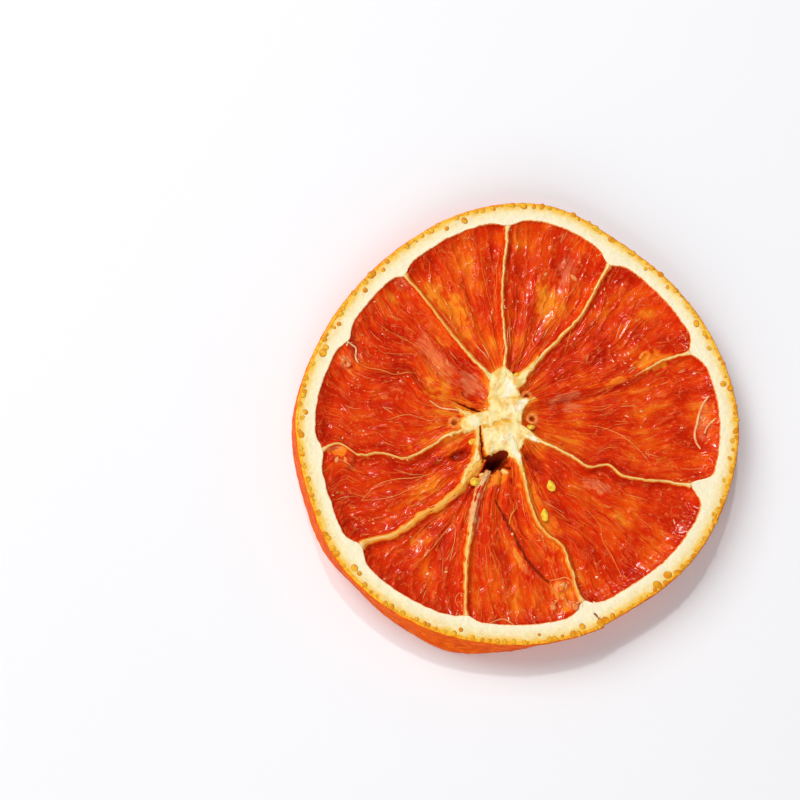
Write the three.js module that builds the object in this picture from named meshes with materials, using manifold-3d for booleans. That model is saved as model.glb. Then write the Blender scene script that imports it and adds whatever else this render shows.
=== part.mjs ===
// A dried slice of blood orange, lying flat with its cut face up: a ring of peel and pith, ten sunk
// cells of pulp between thin raised walls, a pale star-shaped core, one hole through it and the tears
// that drying has opened. The slice is one piece, so it is one solid. Millimetres, +Z up, with the
// origin on the floor below the middle of the slice.

import * as THREE from 'three';
import { mergeVertices } from 'three/addons/utils/BufferGeometryUtils.js';
import Module from 'manifold-3d';

// Outline, seen from above. Bearings are degrees anticlockwise from +X, all through this file.
const outlineRadii = [ // from the slice's middle to the outside of the peel, in even steps round from +X
  30.4, 30.4, 30.4, 30.6, 31.9, 30.9, 29.2, 28.5, 28.9, 30.1, 30.4, 31.6, 31.4, 30.6, 29.9, 29, 29.4, 29.7,
];
const meanRadius = outlineRadii.reduce((sum, radius) => sum + radius, 0) / outlineRadii.length;
const coreOffset = new THREE.Vector2(-2.2, 1.6);

// Heights
const rimThickness = 4.8;
const rimWaves = [
  { count: 2, size: 0.12, bearing: 150 },
  { count: 5, size: 0.08, bearing: 20 },
];
const wallDip = 0.3;
const coreDip = 0.15;
const undersideRise = 0.7;
const undersideWallRise = 0.25;

// Ring of pith and peel. The rings of points on its side are at these shares of its height.
const rimWidth = 2.5;
const flareSpread = 1.5;
const rimSlope = 0.5;
const edgeRounding = 0.4;
const sideHeights = [0.08, 0.36, 0.64, 0.93];

// The peel stands proud on one side of the tear through it, and settles back over spread degrees
const proudLip = { bearing: 290.5, reach: 0.35, spread: 5 };

// Where the side of the peel leans out (+) or is tucked in (-) towards the floor
const leans = [
  { bearing: 225, reach: -0.7, spread: 9 },
  { bearing: 253, reach: 0.9, spread: 9 },
  { bearing: 286, reach: -1.3, spread: 13 },
];

// Walls between the cells, anticlockwise. Each runs from its bearing at the rim to its bearing at the
// core, and sways sideways by so many mm a quarter, half and three quarters of the way out. The pith
// widens by flare where the wall joins it. The cell that follows the wall starts tip mm from the
// middle of the core, and lies sunk mm below the rim.
const walls = [
  { rim: 23, core: 18, sway: [-0.1, -0.1, 0.5], flare: 1.4, tip: 3.4, sunk: 0.75 },
  { rim: 59.5, core: 62, sway: [-0.4, -1.1, -0.5], flare: 1.2, tip: 4.6, sunk: 0.85 },
  { rim: 91, core: 90, sway: [0.1, 0.5, 0.4], flare: 0.7, tip: 5.6, sunk: 0.8 },
  { rim: 127, core: 113, sway: [1.1, 1.8, 0.7], flare: 0.8, tip: 3.6, sunk: 0.7 },
  { rim: 155, core: 175, sway: [-0.6, -1.3, 0.6], flare: 0.8, tip: 4.8, sunk: 0.75 },
  { rim: 191, core: 205, sway: [0.3, 0.9, -0.4], flare: 0.7, tip: 6.4, sunk: 0.9 },
  { rim: 220, core: 245, sway: [-0.5, -1.3, -0.9], flare: 1.2, tip: 8.6, sunk: 0.9 },
  { rim: 254, core: 254, sway: [-1.1, -1.6, -1], flare: 0.5, tip: 9.2, sunk: 0.7 },
  { rim: 288, core: 285, sway: [-0.3, -0.2, 0.4], flare: 1.5, tip: 6.6, sunk: 0.9 },
  { rim: 340.5, core: 318, sway: [0.3, 1.5, 1.3], flare: 2.5, tip: 3.4, sunk: 0.8 },
];
const wallStart = 0.18;
const wallEnd = 0.9;
const wallHalfWidth = 0.3;
const wallCrest = 0.18;
const wallFoot = 0.9;
const coreSlope = 0.8;

// Folds of the pulp, which run out from the core
const foldHeight = 0.14;
const foldsPerCell = 3;

// The hole beside the core, and the tears: each follows a few points, and opens and closes along them
const hole = { x: -3.5, y: -5.5, halfLength: 1.85, halfWidth: 1.3, lobe: 0.16, steps: 16 };
const tears = [
  {
    path: [[-3.3, -9.6], [-3, -12.2], [-1.7, -14.9], [-0.2, -17.6], [2, -20.5], [3.6, -21.9]],
    width: 0.35,
    floor: 2,
  },
  {
    path: [[7.7, -25], [8.7, -25.7], [9.5, -26.5], [10.4, -27.7], [11, -28.9], [11.5, -30]],
    width: 0.32,
    floor: 2.6,
  },
  { path: [[-5.1, -4.6], [-5.4, -3.2], [-5.4, -1]], width: 0.4, floor: 1.8 },
  { path: [[-9.4, 3], [-7.3, 2.3], [-5.1, 1.5]], width: 0.45, floor: 2.4 },
];

// Mesh: columns beside a wall, at these distances from it, then pulpColumns steps over the pulp
const besideWall = [wallHalfWidth, wallFoot, 2];
const pulpColumns = 5;
const pulpRings = 8;
const narrowShare = 0.25;
const mergeDistance = 1e-4;

const radians = THREE.MathUtils.degToRad;
const { smoothstep, clamp, lerp } = THREE.MathUtils;

// Sum of waves round the slice at one bearing
function waves(list, bearing) {
  return list.reduce((sum, w) => sum + w.size * Math.cos(w.count * radians(bearing - w.bearing)), 0);
}

// Radius of the outline round the slice, as a closed curve through the radii
const radiusCurve = new THREE.CatmullRomCurve3(
  outlineRadii.map((radius) => new THREE.Vector3(radius, 0, 0)),
  true,
  'catmullrom',
);

// Point of the outline at a bearing, moved outwards by extra
function outlinePoint(bearing, extra = 0) {
  const pastLip = ((proudLip.bearing - bearing) % 360 + 360) % 360;
  const lip = proudLip.reach * Math.exp(-pastLip / proudLip.spread);
  const round = (((bearing / 360) % 1) + 1) % 1;
  const radius = radiusCurve.getPoint(round).x + lip + extra;
  return new THREE.Vector2(Math.cos(radians(bearing)), Math.sin(radians(bearing))).multiplyScalar(radius);
}

// How far the foot of the peel stands out from its top edge at a bearing
function leanAt(bearing) {
  return leans.reduce((sum, lean) => {
    const turn = ((bearing - lean.bearing + 540) % 360) - 180;
    return sum + lean.reach * Math.exp(-((turn / lean.spread) ** 2));
  }, 0);
}

// Sideways sway of each wall along its length, as a curve through its three values
const swayCurves = walls.map(
  (wall) => new THREE.SplineCurve([0, ...wall.sway, 0].map((sway, i) => new THREE.Vector2(i, sway))),
);

// Bearing of a wall where it is share of the way from the core's middle to the outline
function wallBearing(index, share) {
  const turn = Math.floor(index / walls.length) * 360;
  const wall = walls[index % walls.length];
  const along = clamp((share - wallStart) / (wallEnd - wallStart), 0, 1);
  const sway = swayCurves[index % walls.length].getPoint(along).y;
  const swayTurn = THREE.MathUtils.radToDeg(sway / (meanRadius * Math.max(share, wallStart)));
  return turn + lerp(wall.core, wall.rim, along) + swayTurn;
}

// Columns of the mesh in one cell: on the wall, beside it, over the pulp and beside the next wall.
// Each is a distance from a wall in mm (from the next wall if negative), or a step over the pulp.
const columns = [
  { near: 0 },
  ...besideWall.map((near) => ({ near })),
  ...Array.from({ length: pulpColumns - 1 }, (_, i) => ({ step: (i + 1) / pulpColumns })),
  ...besideWall.map((near) => ({ near: -near })).reverse(),
];

// Where a column lies between two walls, from 0 to 1, in a cell that is width mm across
function columnShare(column, width) {
  const widest = besideWall.at(-1);
  const shrink = Math.min(1, (narrowShare * width) / widest);
  const edge = (widest * shrink) / width;
  if (column.step !== undefined) {
    return lerp(edge, 1 - edge, column.step);
  }
  const share = (Math.abs(column.near) * shrink) / width;
  return column.near < 0 ? 1 - share : share;
}

// A place on the slice: its bearing and its sideways distance from the nearest wall
function place(cell, column, share) {
  const from = wallBearing(cell, share);
  const to = wallBearing(cell + 1, share);
  const width = radians(to - from) * meanRadius * Math.max(share, wallStart / 2);
  const across = columnShare(column, width);
  return { bearing: lerp(from, to, across), across, fromWall: Math.min(across, 1 - across) * width };
}

// Width of the ring of pith at a sideways distance from a wall
function pithWidth(cell, across, fromWall) {
  const wall = walls[(across < 0.5 ? cell : cell + 1) % walls.length];
  return rimWidth + wall.flare * Math.exp(-((fromWall / flareSpread) ** 2));
}

// How much of the pulp's full depth a place has: none on a wall, at the rim or on the core
function hollow(cell, spot, fromCore, fromEdge) {
  const tip = walls[cell % walls.length].tip;
  const width = pithWidth(cell, spot.across, spot.fromWall);
  const offWall = smoothstep(spot.fromWall, wallCrest, wallFoot);
  const insideRim = smoothstep(fromEdge, width - rimSlope / 2, width + rimSlope);
  const outsideCore = smoothstep(fromCore, tip - coreSlope / 2, tip + coreSlope);
  return { depth: offWall * insideRim * outsideCore, open: insideRim * outsideCore };
}

// Height of the upper face
function topHeight(cell, spot, fromCore, fromEdge, length) {
  const { depth, open } = hollow(cell, spot, fromCore, fromEdge);
  const onCore = 1 - smoothstep(fromCore, coreSlope, length / 3);
  const foldTurns = spot.across * foldsPerCell;
  const fold = Math.sin(foldTurns * Math.PI * 2 + cell) * Math.sin((Math.PI * fromCore) / length);
  const sunk = walls[cell % walls.length].sunk - foldHeight * fold;
  return rimThickness + waves(rimWaves, spot.bearing) * (1 - onCore)
    - coreDip * onCore - wallDip * (open - depth) - sunk * depth;
}

// Height of the lower face
function bottomHeight(cell, spot, fromCore, fromEdge) {
  const { depth, open } = hollow(cell, spot, fromCore, fromEdge);
  const inside = smoothstep(fromEdge, rimWidth, rimWidth + coreSlope * 2);
  return undersideRise * depth + undersideWallRise * Math.max(open - depth, inside * (1 - depth));
}

// One vertex, share of the way from the core's middle to the outline
function vertex(cell, column, share, upper) {
  const spot = place(cell, column, share);
  const edge = outlinePoint(spot.bearing, upper ? 0 : leanAt(spot.bearing));
  const length = edge.distanceTo(coreOffset);
  const point = coreOffset.clone().lerp(edge, share);
  const fromCore = share * length;
  const fromEdge = length - fromCore;
  const z = upper
    ? topHeight(cell, spot, fromCore, fromEdge, length)
    : bottomHeight(cell, spot, fromCore, fromEdge);
  return new THREE.Vector3(point.x, point.y, z);
}

// Shares at which the rings of one face cross a column, from the core outwards
function ringShares(cell, column) {
  const spot = place(cell, column, 1);
  const length = outlinePoint(spot.bearing).distanceTo(coreOffset);
  const tip = walls[cell % walls.length].tip;
  const width = pithWidth(cell, spot.across, spot.fromWall);
  const first = tip + coreSlope;
  const last = length - width - rimSlope;
  const distances = [tip / 2, tip - coreSlope / 2];
  for (let i = 0; i <= pulpRings; i += 1) {
    distances.push(lerp(first, last, i / pulpRings));
  }
  distances.push(length - width + rimSlope / 2, length - width / 2, length - edgeRounding);
  return distances.map((distance) => distance / length);
}

// One column of points: up the lower face from the core, round the edge and back over the upper face
function profile(cell, column) {
  const shares = ringShares(cell, column);
  const lower = shares.map((share) => vertex(cell, column, share, false));
  const upper = shares.map((share) => vertex(cell, column, share, true));
  const spot = place(cell, column, 1);
  const top = outlinePoint(spot.bearing);
  const foot = outlinePoint(spot.bearing, leanAt(spot.bearing));
  const height = upper.at(-1).z;
  const side = sideHeights.map((share) => {
    const point = foot.clone().lerp(top, smoothstep(share, 0, 1));
    return new THREE.Vector3(point.x, point.y, height * share);
  });
  return [...lower, ...side, ...upper.reverse()];
}

// The whole slice before the hole and the tears: columns all the way round, closed over the core
function sliceGeometry() {
  const profiles = walls.flatMap((_, cell) => columns.map((column) => profile(cell, column)));
  const rows = profiles[0].length;
  const points = profiles.flat();
  const lowPole = points.length;
  const highPole = lowPole + 1;
  points.push(new THREE.Vector3(coreOffset.x, coreOffset.y, undersideWallRise));
  points.push(new THREE.Vector3(coreOffset.x, coreOffset.y, rimThickness - coreDip));
  const faces = [];
  profiles.forEach((_, c) => {
    const here = c * rows;
    const next = ((c + 1) % profiles.length) * rows;
    faces.push(lowPole, next, here);
    for (let r = 0; r < rows - 1; r += 1) {
      faces.push(here + r, next + r, next + r + 1);
      faces.push(here + r, next + r + 1, here + r + 1);
    }
    faces.push(highPole, here + rows - 1, next + rows - 1);
  });
  const geometry = new THREE.BufferGeometry().setFromPoints(points);
  geometry.setIndex(faces);
  return geometry;
}

// An upright cutter over a closed outline, from its floor up past the upper face
function cutter(outline, floor) {
  const shape = new THREE.Shape(outline);
  const geometry = new THREE.ExtrudeGeometry(shape, { depth: rimThickness * 2, bevelEnabled: false });
  geometry.translate(0, 0, floor);
  geometry.deleteAttribute('normal');
  geometry.deleteAttribute('uv');
  return mergeVertices(geometry, mergeDistance);
}

// Outline of the hole, an oval with three soft lobes
function holeOutline() {
  return Array.from({ length: hole.steps }, (_, i) => {
    const angle = (i / hole.steps) * Math.PI * 2;
    const reach = 1 + hole.lobe * Math.cos(3 * angle);
    return new THREE.Vector2(
      hole.x + hole.halfLength * reach * Math.cos(angle),
      hole.y + hole.halfWidth * reach * Math.sin(angle),
    );
  });
}

// Outline of a tear: its path as a smooth line, widest in the middle and pointed at both ends
function tearOutline(tear) {
  const curve = new THREE.SplineCurve(tear.path.map(([x, y]) => new THREE.Vector2(x, y)));
  const steps = tear.path.length * 2;
  const side = (sign) => Array.from({ length: steps - 1 }, (_, i) => {
    const t = (i + 1) / steps;
    const along = curve.getTangent(t);
    const half = (sign * tear.width * Math.sin(Math.PI * t) ** 0.5) / 2;
    return curve.getPoint(t).add(new THREE.Vector2(-along.y, along.x).multiplyScalar(half));
  });
  return [curve.getPoint(0), ...side(-1), curve.getPoint(1), ...side(1).reverse()];
}

// Cutting
const wasm = await Module();
wasm.setup();

function toSolid(geometry) {
  return new wasm.Manifold(new wasm.Mesh({
    numProp: 3,
    vertProperties: new Float32Array(geometry.attributes.position.array),
    triVerts: new Uint32Array(geometry.index.array),
  }));
}

function toGeometry(solid) {
  const mesh = solid.getMesh();
  const geometry = new THREE.BufferGeometry();
  geometry.setAttribute('position', new THREE.BufferAttribute(mesh.vertProperties, mesh.numProp));
  geometry.setIndex(new THREE.BufferAttribute(mesh.triVerts, 1));
  return geometry;
}

const belowSlice = -rimThickness / 2;
let solid = toSolid(sliceGeometry()).subtract(toSolid(cutter(holeOutline(), belowSlice)));
tears.forEach((tear) => {
  solid = solid.subtract(toSolid(cutter(tearOutline(tear), tear.floor)));
});

const geometry = toGeometry(solid);
geometry.computeBoundingBox();
const middle = geometry.boundingBox.getCenter(new THREE.Vector3());
geometry.translate(-middle.x, -middle.y, -geometry.boundingBox.min.z);
geometry.computeVertexNormals();

const material = new THREE.MeshStandardMaterial({ color: 0xc8380c, roughness: 0.35, metalness: 0 });
const slice = new THREE.Mesh(geometry, material);
slice.name = 'slice';

const group = new THREE.Group();
group.add(slice);

export default group;
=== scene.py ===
"""Dried slice of blood orange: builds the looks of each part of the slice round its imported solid.

Lengths in the shape functions are millimetres in the slice's own plan, whose origin is the middle of
the outline. Bearings are degrees anticlockwise from +X. A share runs from 0 at the middle of the core
to 1 at the outline, along a straight ray.
"""

import math
from typing import NamedTuple

import bpy
import numpy as np
from bpy.props import FloatProperty, FloatVectorProperty, IntProperty, PointerProperty
from mathutils import Matrix, Vector


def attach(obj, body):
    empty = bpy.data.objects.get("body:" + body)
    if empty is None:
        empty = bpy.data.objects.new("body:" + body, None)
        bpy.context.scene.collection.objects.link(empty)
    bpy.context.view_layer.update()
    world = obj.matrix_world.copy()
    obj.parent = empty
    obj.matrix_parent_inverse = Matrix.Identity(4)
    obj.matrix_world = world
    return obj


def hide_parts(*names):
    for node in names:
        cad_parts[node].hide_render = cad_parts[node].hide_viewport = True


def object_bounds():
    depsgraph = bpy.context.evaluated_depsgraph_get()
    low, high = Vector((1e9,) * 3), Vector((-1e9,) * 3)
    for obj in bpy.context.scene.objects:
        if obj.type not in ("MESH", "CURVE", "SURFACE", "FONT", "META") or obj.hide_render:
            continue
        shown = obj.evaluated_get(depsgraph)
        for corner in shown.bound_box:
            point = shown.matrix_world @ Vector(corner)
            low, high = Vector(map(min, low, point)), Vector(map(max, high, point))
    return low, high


bl_info = {
    "name": "Dried blood orange slice",
    "version": (1, 0, 0),
    "blender": (4, 5, 0),
    "location": "View3D > Sidebar > Orange slice",
    "description": "Builds a dried slice of blood orange: peel, pith, walls, pulp and core",
    "category": "Object",
}

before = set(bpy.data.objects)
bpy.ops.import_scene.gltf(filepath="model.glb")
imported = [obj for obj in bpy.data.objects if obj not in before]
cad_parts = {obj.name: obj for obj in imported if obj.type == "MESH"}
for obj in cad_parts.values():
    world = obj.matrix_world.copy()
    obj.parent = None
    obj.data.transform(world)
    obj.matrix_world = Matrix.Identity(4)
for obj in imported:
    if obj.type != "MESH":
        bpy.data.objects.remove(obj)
cad_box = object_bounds()

MM = 0.001
NODE = "slice"
BODY = "root"


# ---- the solid's own shape

OUTLINE_RADII = np.array((  # from the middle to the outside of the peel, in even steps round from +X
    30.4, 30.4, 30.4, 30.6, 31.9, 30.9, 29.2, 28.5, 28.9, 30.1, 30.4, 31.6, 31.4, 30.6, 29.9, 29, 29.4, 29.7,
))
MEAN_RADIUS = OUTLINE_RADII.mean()
CORE = np.array((-2.2, 1.6))
RIM_WAVES = ((2, 0.12, 150), (5, 0.08, 20))  # count, size, bearing
WALL_DIP = 0.3  # how far the crests of the walls lie below the rim
CORE_DIP = 0.15  # how far the core does
UNDERSIDE_RISE = 0.7  # from the floor to the pulp
UNDERSIDE_WALL_RISE = 0.25  # from the floor to the walls
RIM_WIDTH = 2.5  # peel and pith together, between two walls
FLARE_SPREAD = 1.5  # how far from a wall the pith is wider
CORE_SLOPE = 0.8
FOLD_HEIGHT = 0.14
FOLDS_PER_CELL = 3
LIP_BEARING, LIP_REACH, LIP_SPREAD = 290.5, 0.35, 5  # a step out in the outline, fading clockwise
LEANS = ((225, -0.7, 9), (253, 0.9, 9), (286, -1.3, 13))  # bearing, reach, width
WALL_START = 0.18  # share of the way out at which a wall has the bearing of its core end
WALL_END = 0.9  # and that of its rim end


class Wall(NamedTuple):
    """A wall, and the cell that follows it anticlockwise. Each tuple runs from core to rim."""
    rim: float
    core: float
    course: tuple  # places that its crest runs through
    flare: float
    tip: float
    sunk: float
    flanks: tuple  # width of the amber flank on its clockwise and anticlockwise side
    cream: tuple  # how pale its crest is
    breadth: tuple  # half width of its crest
    root: float  # where it leaves the core
    warmth: float  # how amber the cell's pulp is
    shown: tuple = (1, 1, 1)  # how far its crest stands out of the pulp
    dull: float = 0  # how beige it is by the core


WALLS = (
    Wall(23, 18, ((14.9, 6.4), (19.9, 9.2)),
         1.4, 3.4, 0.75, (0.2, 0.15), (0, 0.3, 1), (0.04, 0.06, 0.13), 11, 0.4, (0.1, 0.5, 1)),
    Wall(59.5, 62, ((3.2, 9.2), (8.7, 15.1), (12, 20.8)),
         1.2, 4.6, 0.85, (0.4, 0.15), (1, 0.85, 0.9), (0.18, 0.1, 0.12), 3, 0.5),
    Wall(91, 90, ((-1.6, 10.1), (-1.8, 14.4), (-1.7, 20.2), (-1.1, 24.7)),
         0.7, 5.6, 0.8, (0.2, 0.15), (1, 0.8, 0.95), (0.14, 0.09, 0.15), 3, 0.55),
    Wall(127, 113, ((-5.8, 8.2), (-7.8, 10.6), (-12.5, 16.9)),
         0.8, 3.6, 0.7, (0.5, 0.15), (1, 0.5, 0.5), (0.22, 0.09, 0.1), 3, 0.47),
    Wall(155, 175, ((-9.4, 2.2), (-12.1, 2.9), (-15.1, 6.3), (-18.7, 6.5), (-21.7, 7.4)),
         0.8, 4.8, 0.75, (0.25, 0.2), (0.4, 0.05, 0.3), (0.12, 0.05, 0.07), 6.3, 0.42, (0.6, 0.35, 0.4)),
    Wall(191, 205, ((-9, -1.9), (-13.8, -4.8), (-15.3, -5.5), (-18.6, -4.9), (-22.1, -5.1), (-23.9, -3.9)),
         0.7, 6.4, 0.9, (0.15, 0.2), (1, 0.7, 0.75), (0.19, 0.09, 0.08), 3, 0.36),
    Wall(220, 245, ((-7.8, -8.8), (-10.1, -11.1), (-13.2, -13), (-17, -15.8), (-21, -17)),
         1.2, 8.6, 0.9, (0.3, 0.5), (0.1, 0.03, 0.4), (0.4, 0.3, 0.2), 7.2, 0.38, (0.8, 0.8, 1)),
    Wall(254, 254, ((-5.6, -9.6), (-6.9, -14.6), (-7.6, -18.9)),
         0.5, 9.2, 0.7, (0.3, 0.3), (0.5, 0.45, 0.6), (0.6, 0.3, 0.05), 8.7, 0.5, (0.45, 0.7, 1), 0.7),
    Wall(288, 285, ((0.5, -8.2), (2.6, -14.6), (5.1, -16.8), (6.2, -19.9), (7.3, -23.7)),
         1.5, 6.6, 0.9, (0.55, 0.12), (1, 0.6, 0.65), (0.16, 0.1, 0.12), 3, 0.42),
    Wall(340.5, 318, ((6.7, -4.5), (9.4, -6), (11.2, -5.7), (13.9, -7.1), (18.9, -7.7), (21.7, -8)),
         2.5, 3.4, 0.8, (0.25, 0.2), (1, 0.8, 1), (0.16, 0.09, 0.12), 2.5, 0.46),
)
CELLS = range(len(WALLS))


class Tear(NamedTuple):
    path: tuple
    width: float
    depth: float


TEARS = (
    Tear(((-3.4, -10.8), (-2.7, -12.2), (-1.7, -14.2), (-0.4, -16.9), (0.8, -19.1), (2.6, -21),
          (3.6, -21.9)), 0.34, 0.32),
    Tear(((9.1, -25.9), (10.2, -27.2), (10.9, -28.6), (11.5, -30)), 0.14, 0.6),
    Tear(((-5.3, -0.7), (-5.35, -1.9), (-5.05, -3.1), (-5.2, -4.2), (-4.95, -5), (-5.1, -5.8)), 0.22, 0.6),
    Tear(((-9.2, 2.7), (-8.4, 2.35), (-7.2, 1.8), (-6, 1.5), (-5.3, 1.3)), 0.2, 0.6),
    Tear(((-2.3, -6.1), (-1.8, -6.3), (-1.3, -6.5)), 0.24, 0.5),
)
HOLE = (-3.3, -5.7)
HOLE_EDGE = np.array((  # round its two lobes, anticlockwise from the lower left
    (-5.1, -6.8), (-4.7, -7.4), (-3.3, -6.8), (-2.3, -6), (-1.9, -5.7), (-1.7, -5.2), (-1.7, -4.5),
    (-2.2, -4.1), (-3.2, -4.4), (-3.7, -4.8), (-4.7, -5.1), (-5.1, -5.8),
))
HOLE_FRAY = ((7, 0.07, 100), (11, 0.06, 40))  # count, size, bearing
HOLE_TAPER = 0.04  # width of the hole at its lower edge, as a share of that at the upper one
HOLE_SLOPE = 1.8  # how far round the hole the lower face is drawn in


def waves(series, bearing):
    """Sum of waves round the slice at a bearing."""
    return sum(size * np.cos(count * np.radians(bearing - start)) for count, size, start in series)


# The solid is as high as the rim's highest wave
RIM_THICKNESS = cad_box[1].z / MM - waves(RIM_WAVES, np.arange(360.0)).max()


def smooth(value, low, high):
    """0 below low, 1 above high and a soft step between them."""
    t = np.clip((value - low) / (high - low), 0, 1)
    return t * t * (3 - 2 * t)


def lerp(start, end, t):
    return start + (end - start) * t


def hermite(here, after, leave, arrive, share):
    """A curve from here to after, with its slope at both ends."""
    bend = (2 * here - 2 * after + leave + arrive) * share + (-3 * here + 3 * after - 2 * leave - arrive)
    return (bend * share + leave) * share + here


def closed_curve(values, turns):
    """A smooth closed curve through evenly spaced values."""
    place = turns * len(values)
    first = np.floor(place).astype(int)
    before, here, after, beyond = (values[(first + step) % len(values)] for step in (-1, 0, 1, 2))
    return hermite(here, after, (after - before) / 2, (beyond - here) / 2, place - first)


def outline(bearing, out=0.0):
    """Points of the outline at bearings, moved outwards."""
    lip = LIP_REACH * np.exp(-((LIP_BEARING - bearing) % 360) / LIP_SPREAD)
    radius = closed_curve(OUTLINE_RADII, np.asarray(bearing) / 360) + lip + out
    turn = np.radians(bearing)
    return np.stack((radius * np.cos(turn), radius * np.sin(turn)), -1)


def lean(bearing):
    """How far the foot of the peel stands out from its top edge."""
    turn = [(bearing - place + 540) % 360 - 180 for place, _, _ in LEANS]
    return sum(reach * np.exp(-((t / width) ** 2)) for t, (_, reach, width) in zip(turn, LEANS))


def curve_through(values, t):
    """A smooth curve through evenly spaced values."""
    v = np.asarray(values, float)
    last = len(v) - 1
    place = np.clip(t, 0, 1) * last
    i = np.minimum(place.astype(int), last - 1)
    w = place - i
    before, here, after, beyond = v[np.maximum(i - 1, 0)], v[i], v[i + 1], v[np.minimum(i + 2, last)]
    return hermite(here, after, (after - before) / 2, (beyond - here) / 2, w)


def ray_length(bearing):
    """Distance from the middle of the core to the outline."""
    return np.linalg.norm(outline(bearing) - CORE, axis=-1)


def on_ray(bearing, share):
    """Plan points a share of the way from the core to the outline."""
    return CORE + (outline(bearing) - CORE) * np.asarray(share)[..., None]


def ray_place(xy):
    """Bearing of the rays from the core through plan points, and how far out on them the points lie."""
    rays = np.arange(0, 360.5, 0.5)
    off = outline(rays) - CORE
    turn = np.unwrap(np.arctan2(off[:, 1], off[:, 0]))
    here = np.asarray(xy, float) - CORE
    seen = np.arctan2(here[..., 1], here[..., 0])
    bearing = np.interp(turn[0] + (seen - turn[0]) % (2 * np.pi), turn, rays)
    return bearing, np.linalg.norm(here, axis=-1) / ray_length(bearing)


def wall_knots(wall):
    """Shares of the way out and bearings of the places that a wall's crest runs through."""
    bearing, share = ray_place(wall.course)
    return np.array((WALL_START, *share, WALL_END)), np.array((wall.core, *bearing, wall.rim))


WALL_KNOTS = [wall_knots(wall) for wall in WALLS]


def wall_bearing(index, share):
    """Bearing of a wall's crest where it is share of the way out."""
    places, bearings = WALL_KNOTS[index % len(WALLS)]
    slope = np.gradient(bearings, places)
    i = np.clip(np.searchsorted(places, share, side="right") - 1, 0, len(places) - 2)
    gap = places[i + 1] - places[i]
    along = np.clip((share - places[i]) / gap, 0, 1)
    turn = 360 * (index // len(WALLS))
    return turn + hermite(bearings[i], bearings[i + 1], slope[i] * gap, slope[i + 1] * gap, along)


def cell_width(start, end, share):
    """Width in mm between two walls' bearings, a share of the way out."""
    return np.radians(end - start) * MEAN_RADIUS * np.maximum(share, WALL_START / 2)


class Spot:
    """Places in a cell: how far they are from what surrounds them."""

    def __init__(self, cell, across, share):
        start = wall_bearing(cell, share)
        end = wall_bearing(cell + 1, share)
        self.cell, self.across, self.share = cell, across, share
        self.bearing = lerp(start, end, across)
        self.width = cell_width(start, end, share)
        self.from_wall = np.minimum(across, 1 - across) * self.width
        self.length = ray_length(self.bearing)
        self.from_core = share * self.length
        self.from_edge = self.length - self.from_core
        self.xy = on_ray(self.bearing, share)
        near = (WALLS[cell].flare, WALLS[(cell + 1) % len(WALLS)].flare)
        flare = np.where(across < 0.5, near[0], near[1])
        self.pith = RIM_WIDTH + flare * np.exp(-((self.from_wall / FLARE_SPREAD) ** 2))


def rim_height(bearing, from_core, length):
    """Height of the rim, carried in over the cells and faded out on the core."""
    on_core = 1 - smooth(from_core, CORE_SLOPE, length / 3)
    return RIM_THICKNESS + waves(RIM_WAVES, bearing) * (1 - on_core) - CORE_DIP * on_core


def plan_middle():
    """Middle of the slice's box in its own plan, which the solid has at its origin."""
    bearing = np.arange(0, 360, 0.05)
    points = np.concatenate((outline(bearing), outline(bearing, lean(bearing))))
    return (points.min(0) + points.max(0)) / 2


PLAN_MIDDLE = plan_middle()


def in_frame(points):
    """Plan millimetres and heights as metres in the frame."""
    return (np.asarray(points, float) - (*PLAN_MIDDLE, 0)) * MM


# ---- noise and marks on the plan


def scatter(ix, iy, seed):
    """One random number from 0 to 1 for each cell of a whole-numbered grid."""
    mixed = (ix.astype(np.int64) * 374761393 + iy.astype(np.int64) * 668265263 + seed * 974711) & 0xFFFFFFFF
    mixed = ((mixed ^ (mixed >> 13)) * 1274126177) & 0xFFFFFFFF
    return ((mixed ^ (mixed >> 16)) & 0xFFFFFF) / 0xFFFFFF


def noise(x, y, seed=0):
    """Gradient noise, from about -1 to 1, with a wavelength of one unit."""
    ix, iy = np.floor(x), np.floor(y)
    fx, fy = x - ix, y - iy
    value = 0
    for dx in (0, 1):
        for dy in (0, 1):
            turn = scatter(ix + dx, iy + dy, seed) * 2 * np.pi
            slope = (fx - dx) * np.cos(turn) + (fy - dy) * np.sin(turn)
            fade_x = smooth(fx, 0, 1) if dx else 1 - smooth(fx, 0, 1)
            fade_y = smooth(fy, 0, 1) if dy else 1 - smooth(fy, 0, 1)
            value = value + slope * fade_x * fade_y
    return value * 1.5


def rough(x, y, seed=0, octaves=3):
    """Noise with finer noise on it."""
    return sum(noise(x * 2**i, y * 2**i, seed + i) / 2**i for i in range(octaves))


def relief(xy, height, length, seed, octaves=3):
    """Uneven values over the plan, about height high and length mm from wave to wave."""
    return height * rough(xy[..., 0] / length, xy[..., 1] / length, seed, octaves)


def wobble(place, height, length, seed, row=0, octaves=1):
    """Uneven values along a line; each row has its own."""
    return height * rough(place / length, 0 * place + row, seed, octaves)


def packed_cells(x, y, seed=0):
    """Distances to the two nearest of the points scattered one to a unit square."""
    ix, iy = np.floor(x), np.floor(y)
    nearest = np.full(np.shape(x), 9.0)
    second = nearest.copy()
    for dx in (-1, 0, 1):
        for dy in (-1, 0, 1):
            px = ix + dx + scatter(ix + dx, iy + dy, seed)
            py = iy + dy + scatter(ix + dx, iy + dy, seed + 1)
            far = np.hypot(x - px, y - py)
            second = np.minimum(second, np.maximum(nearest, far))
            nearest = np.minimum(nearest, far)
    return nearest, second


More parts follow.
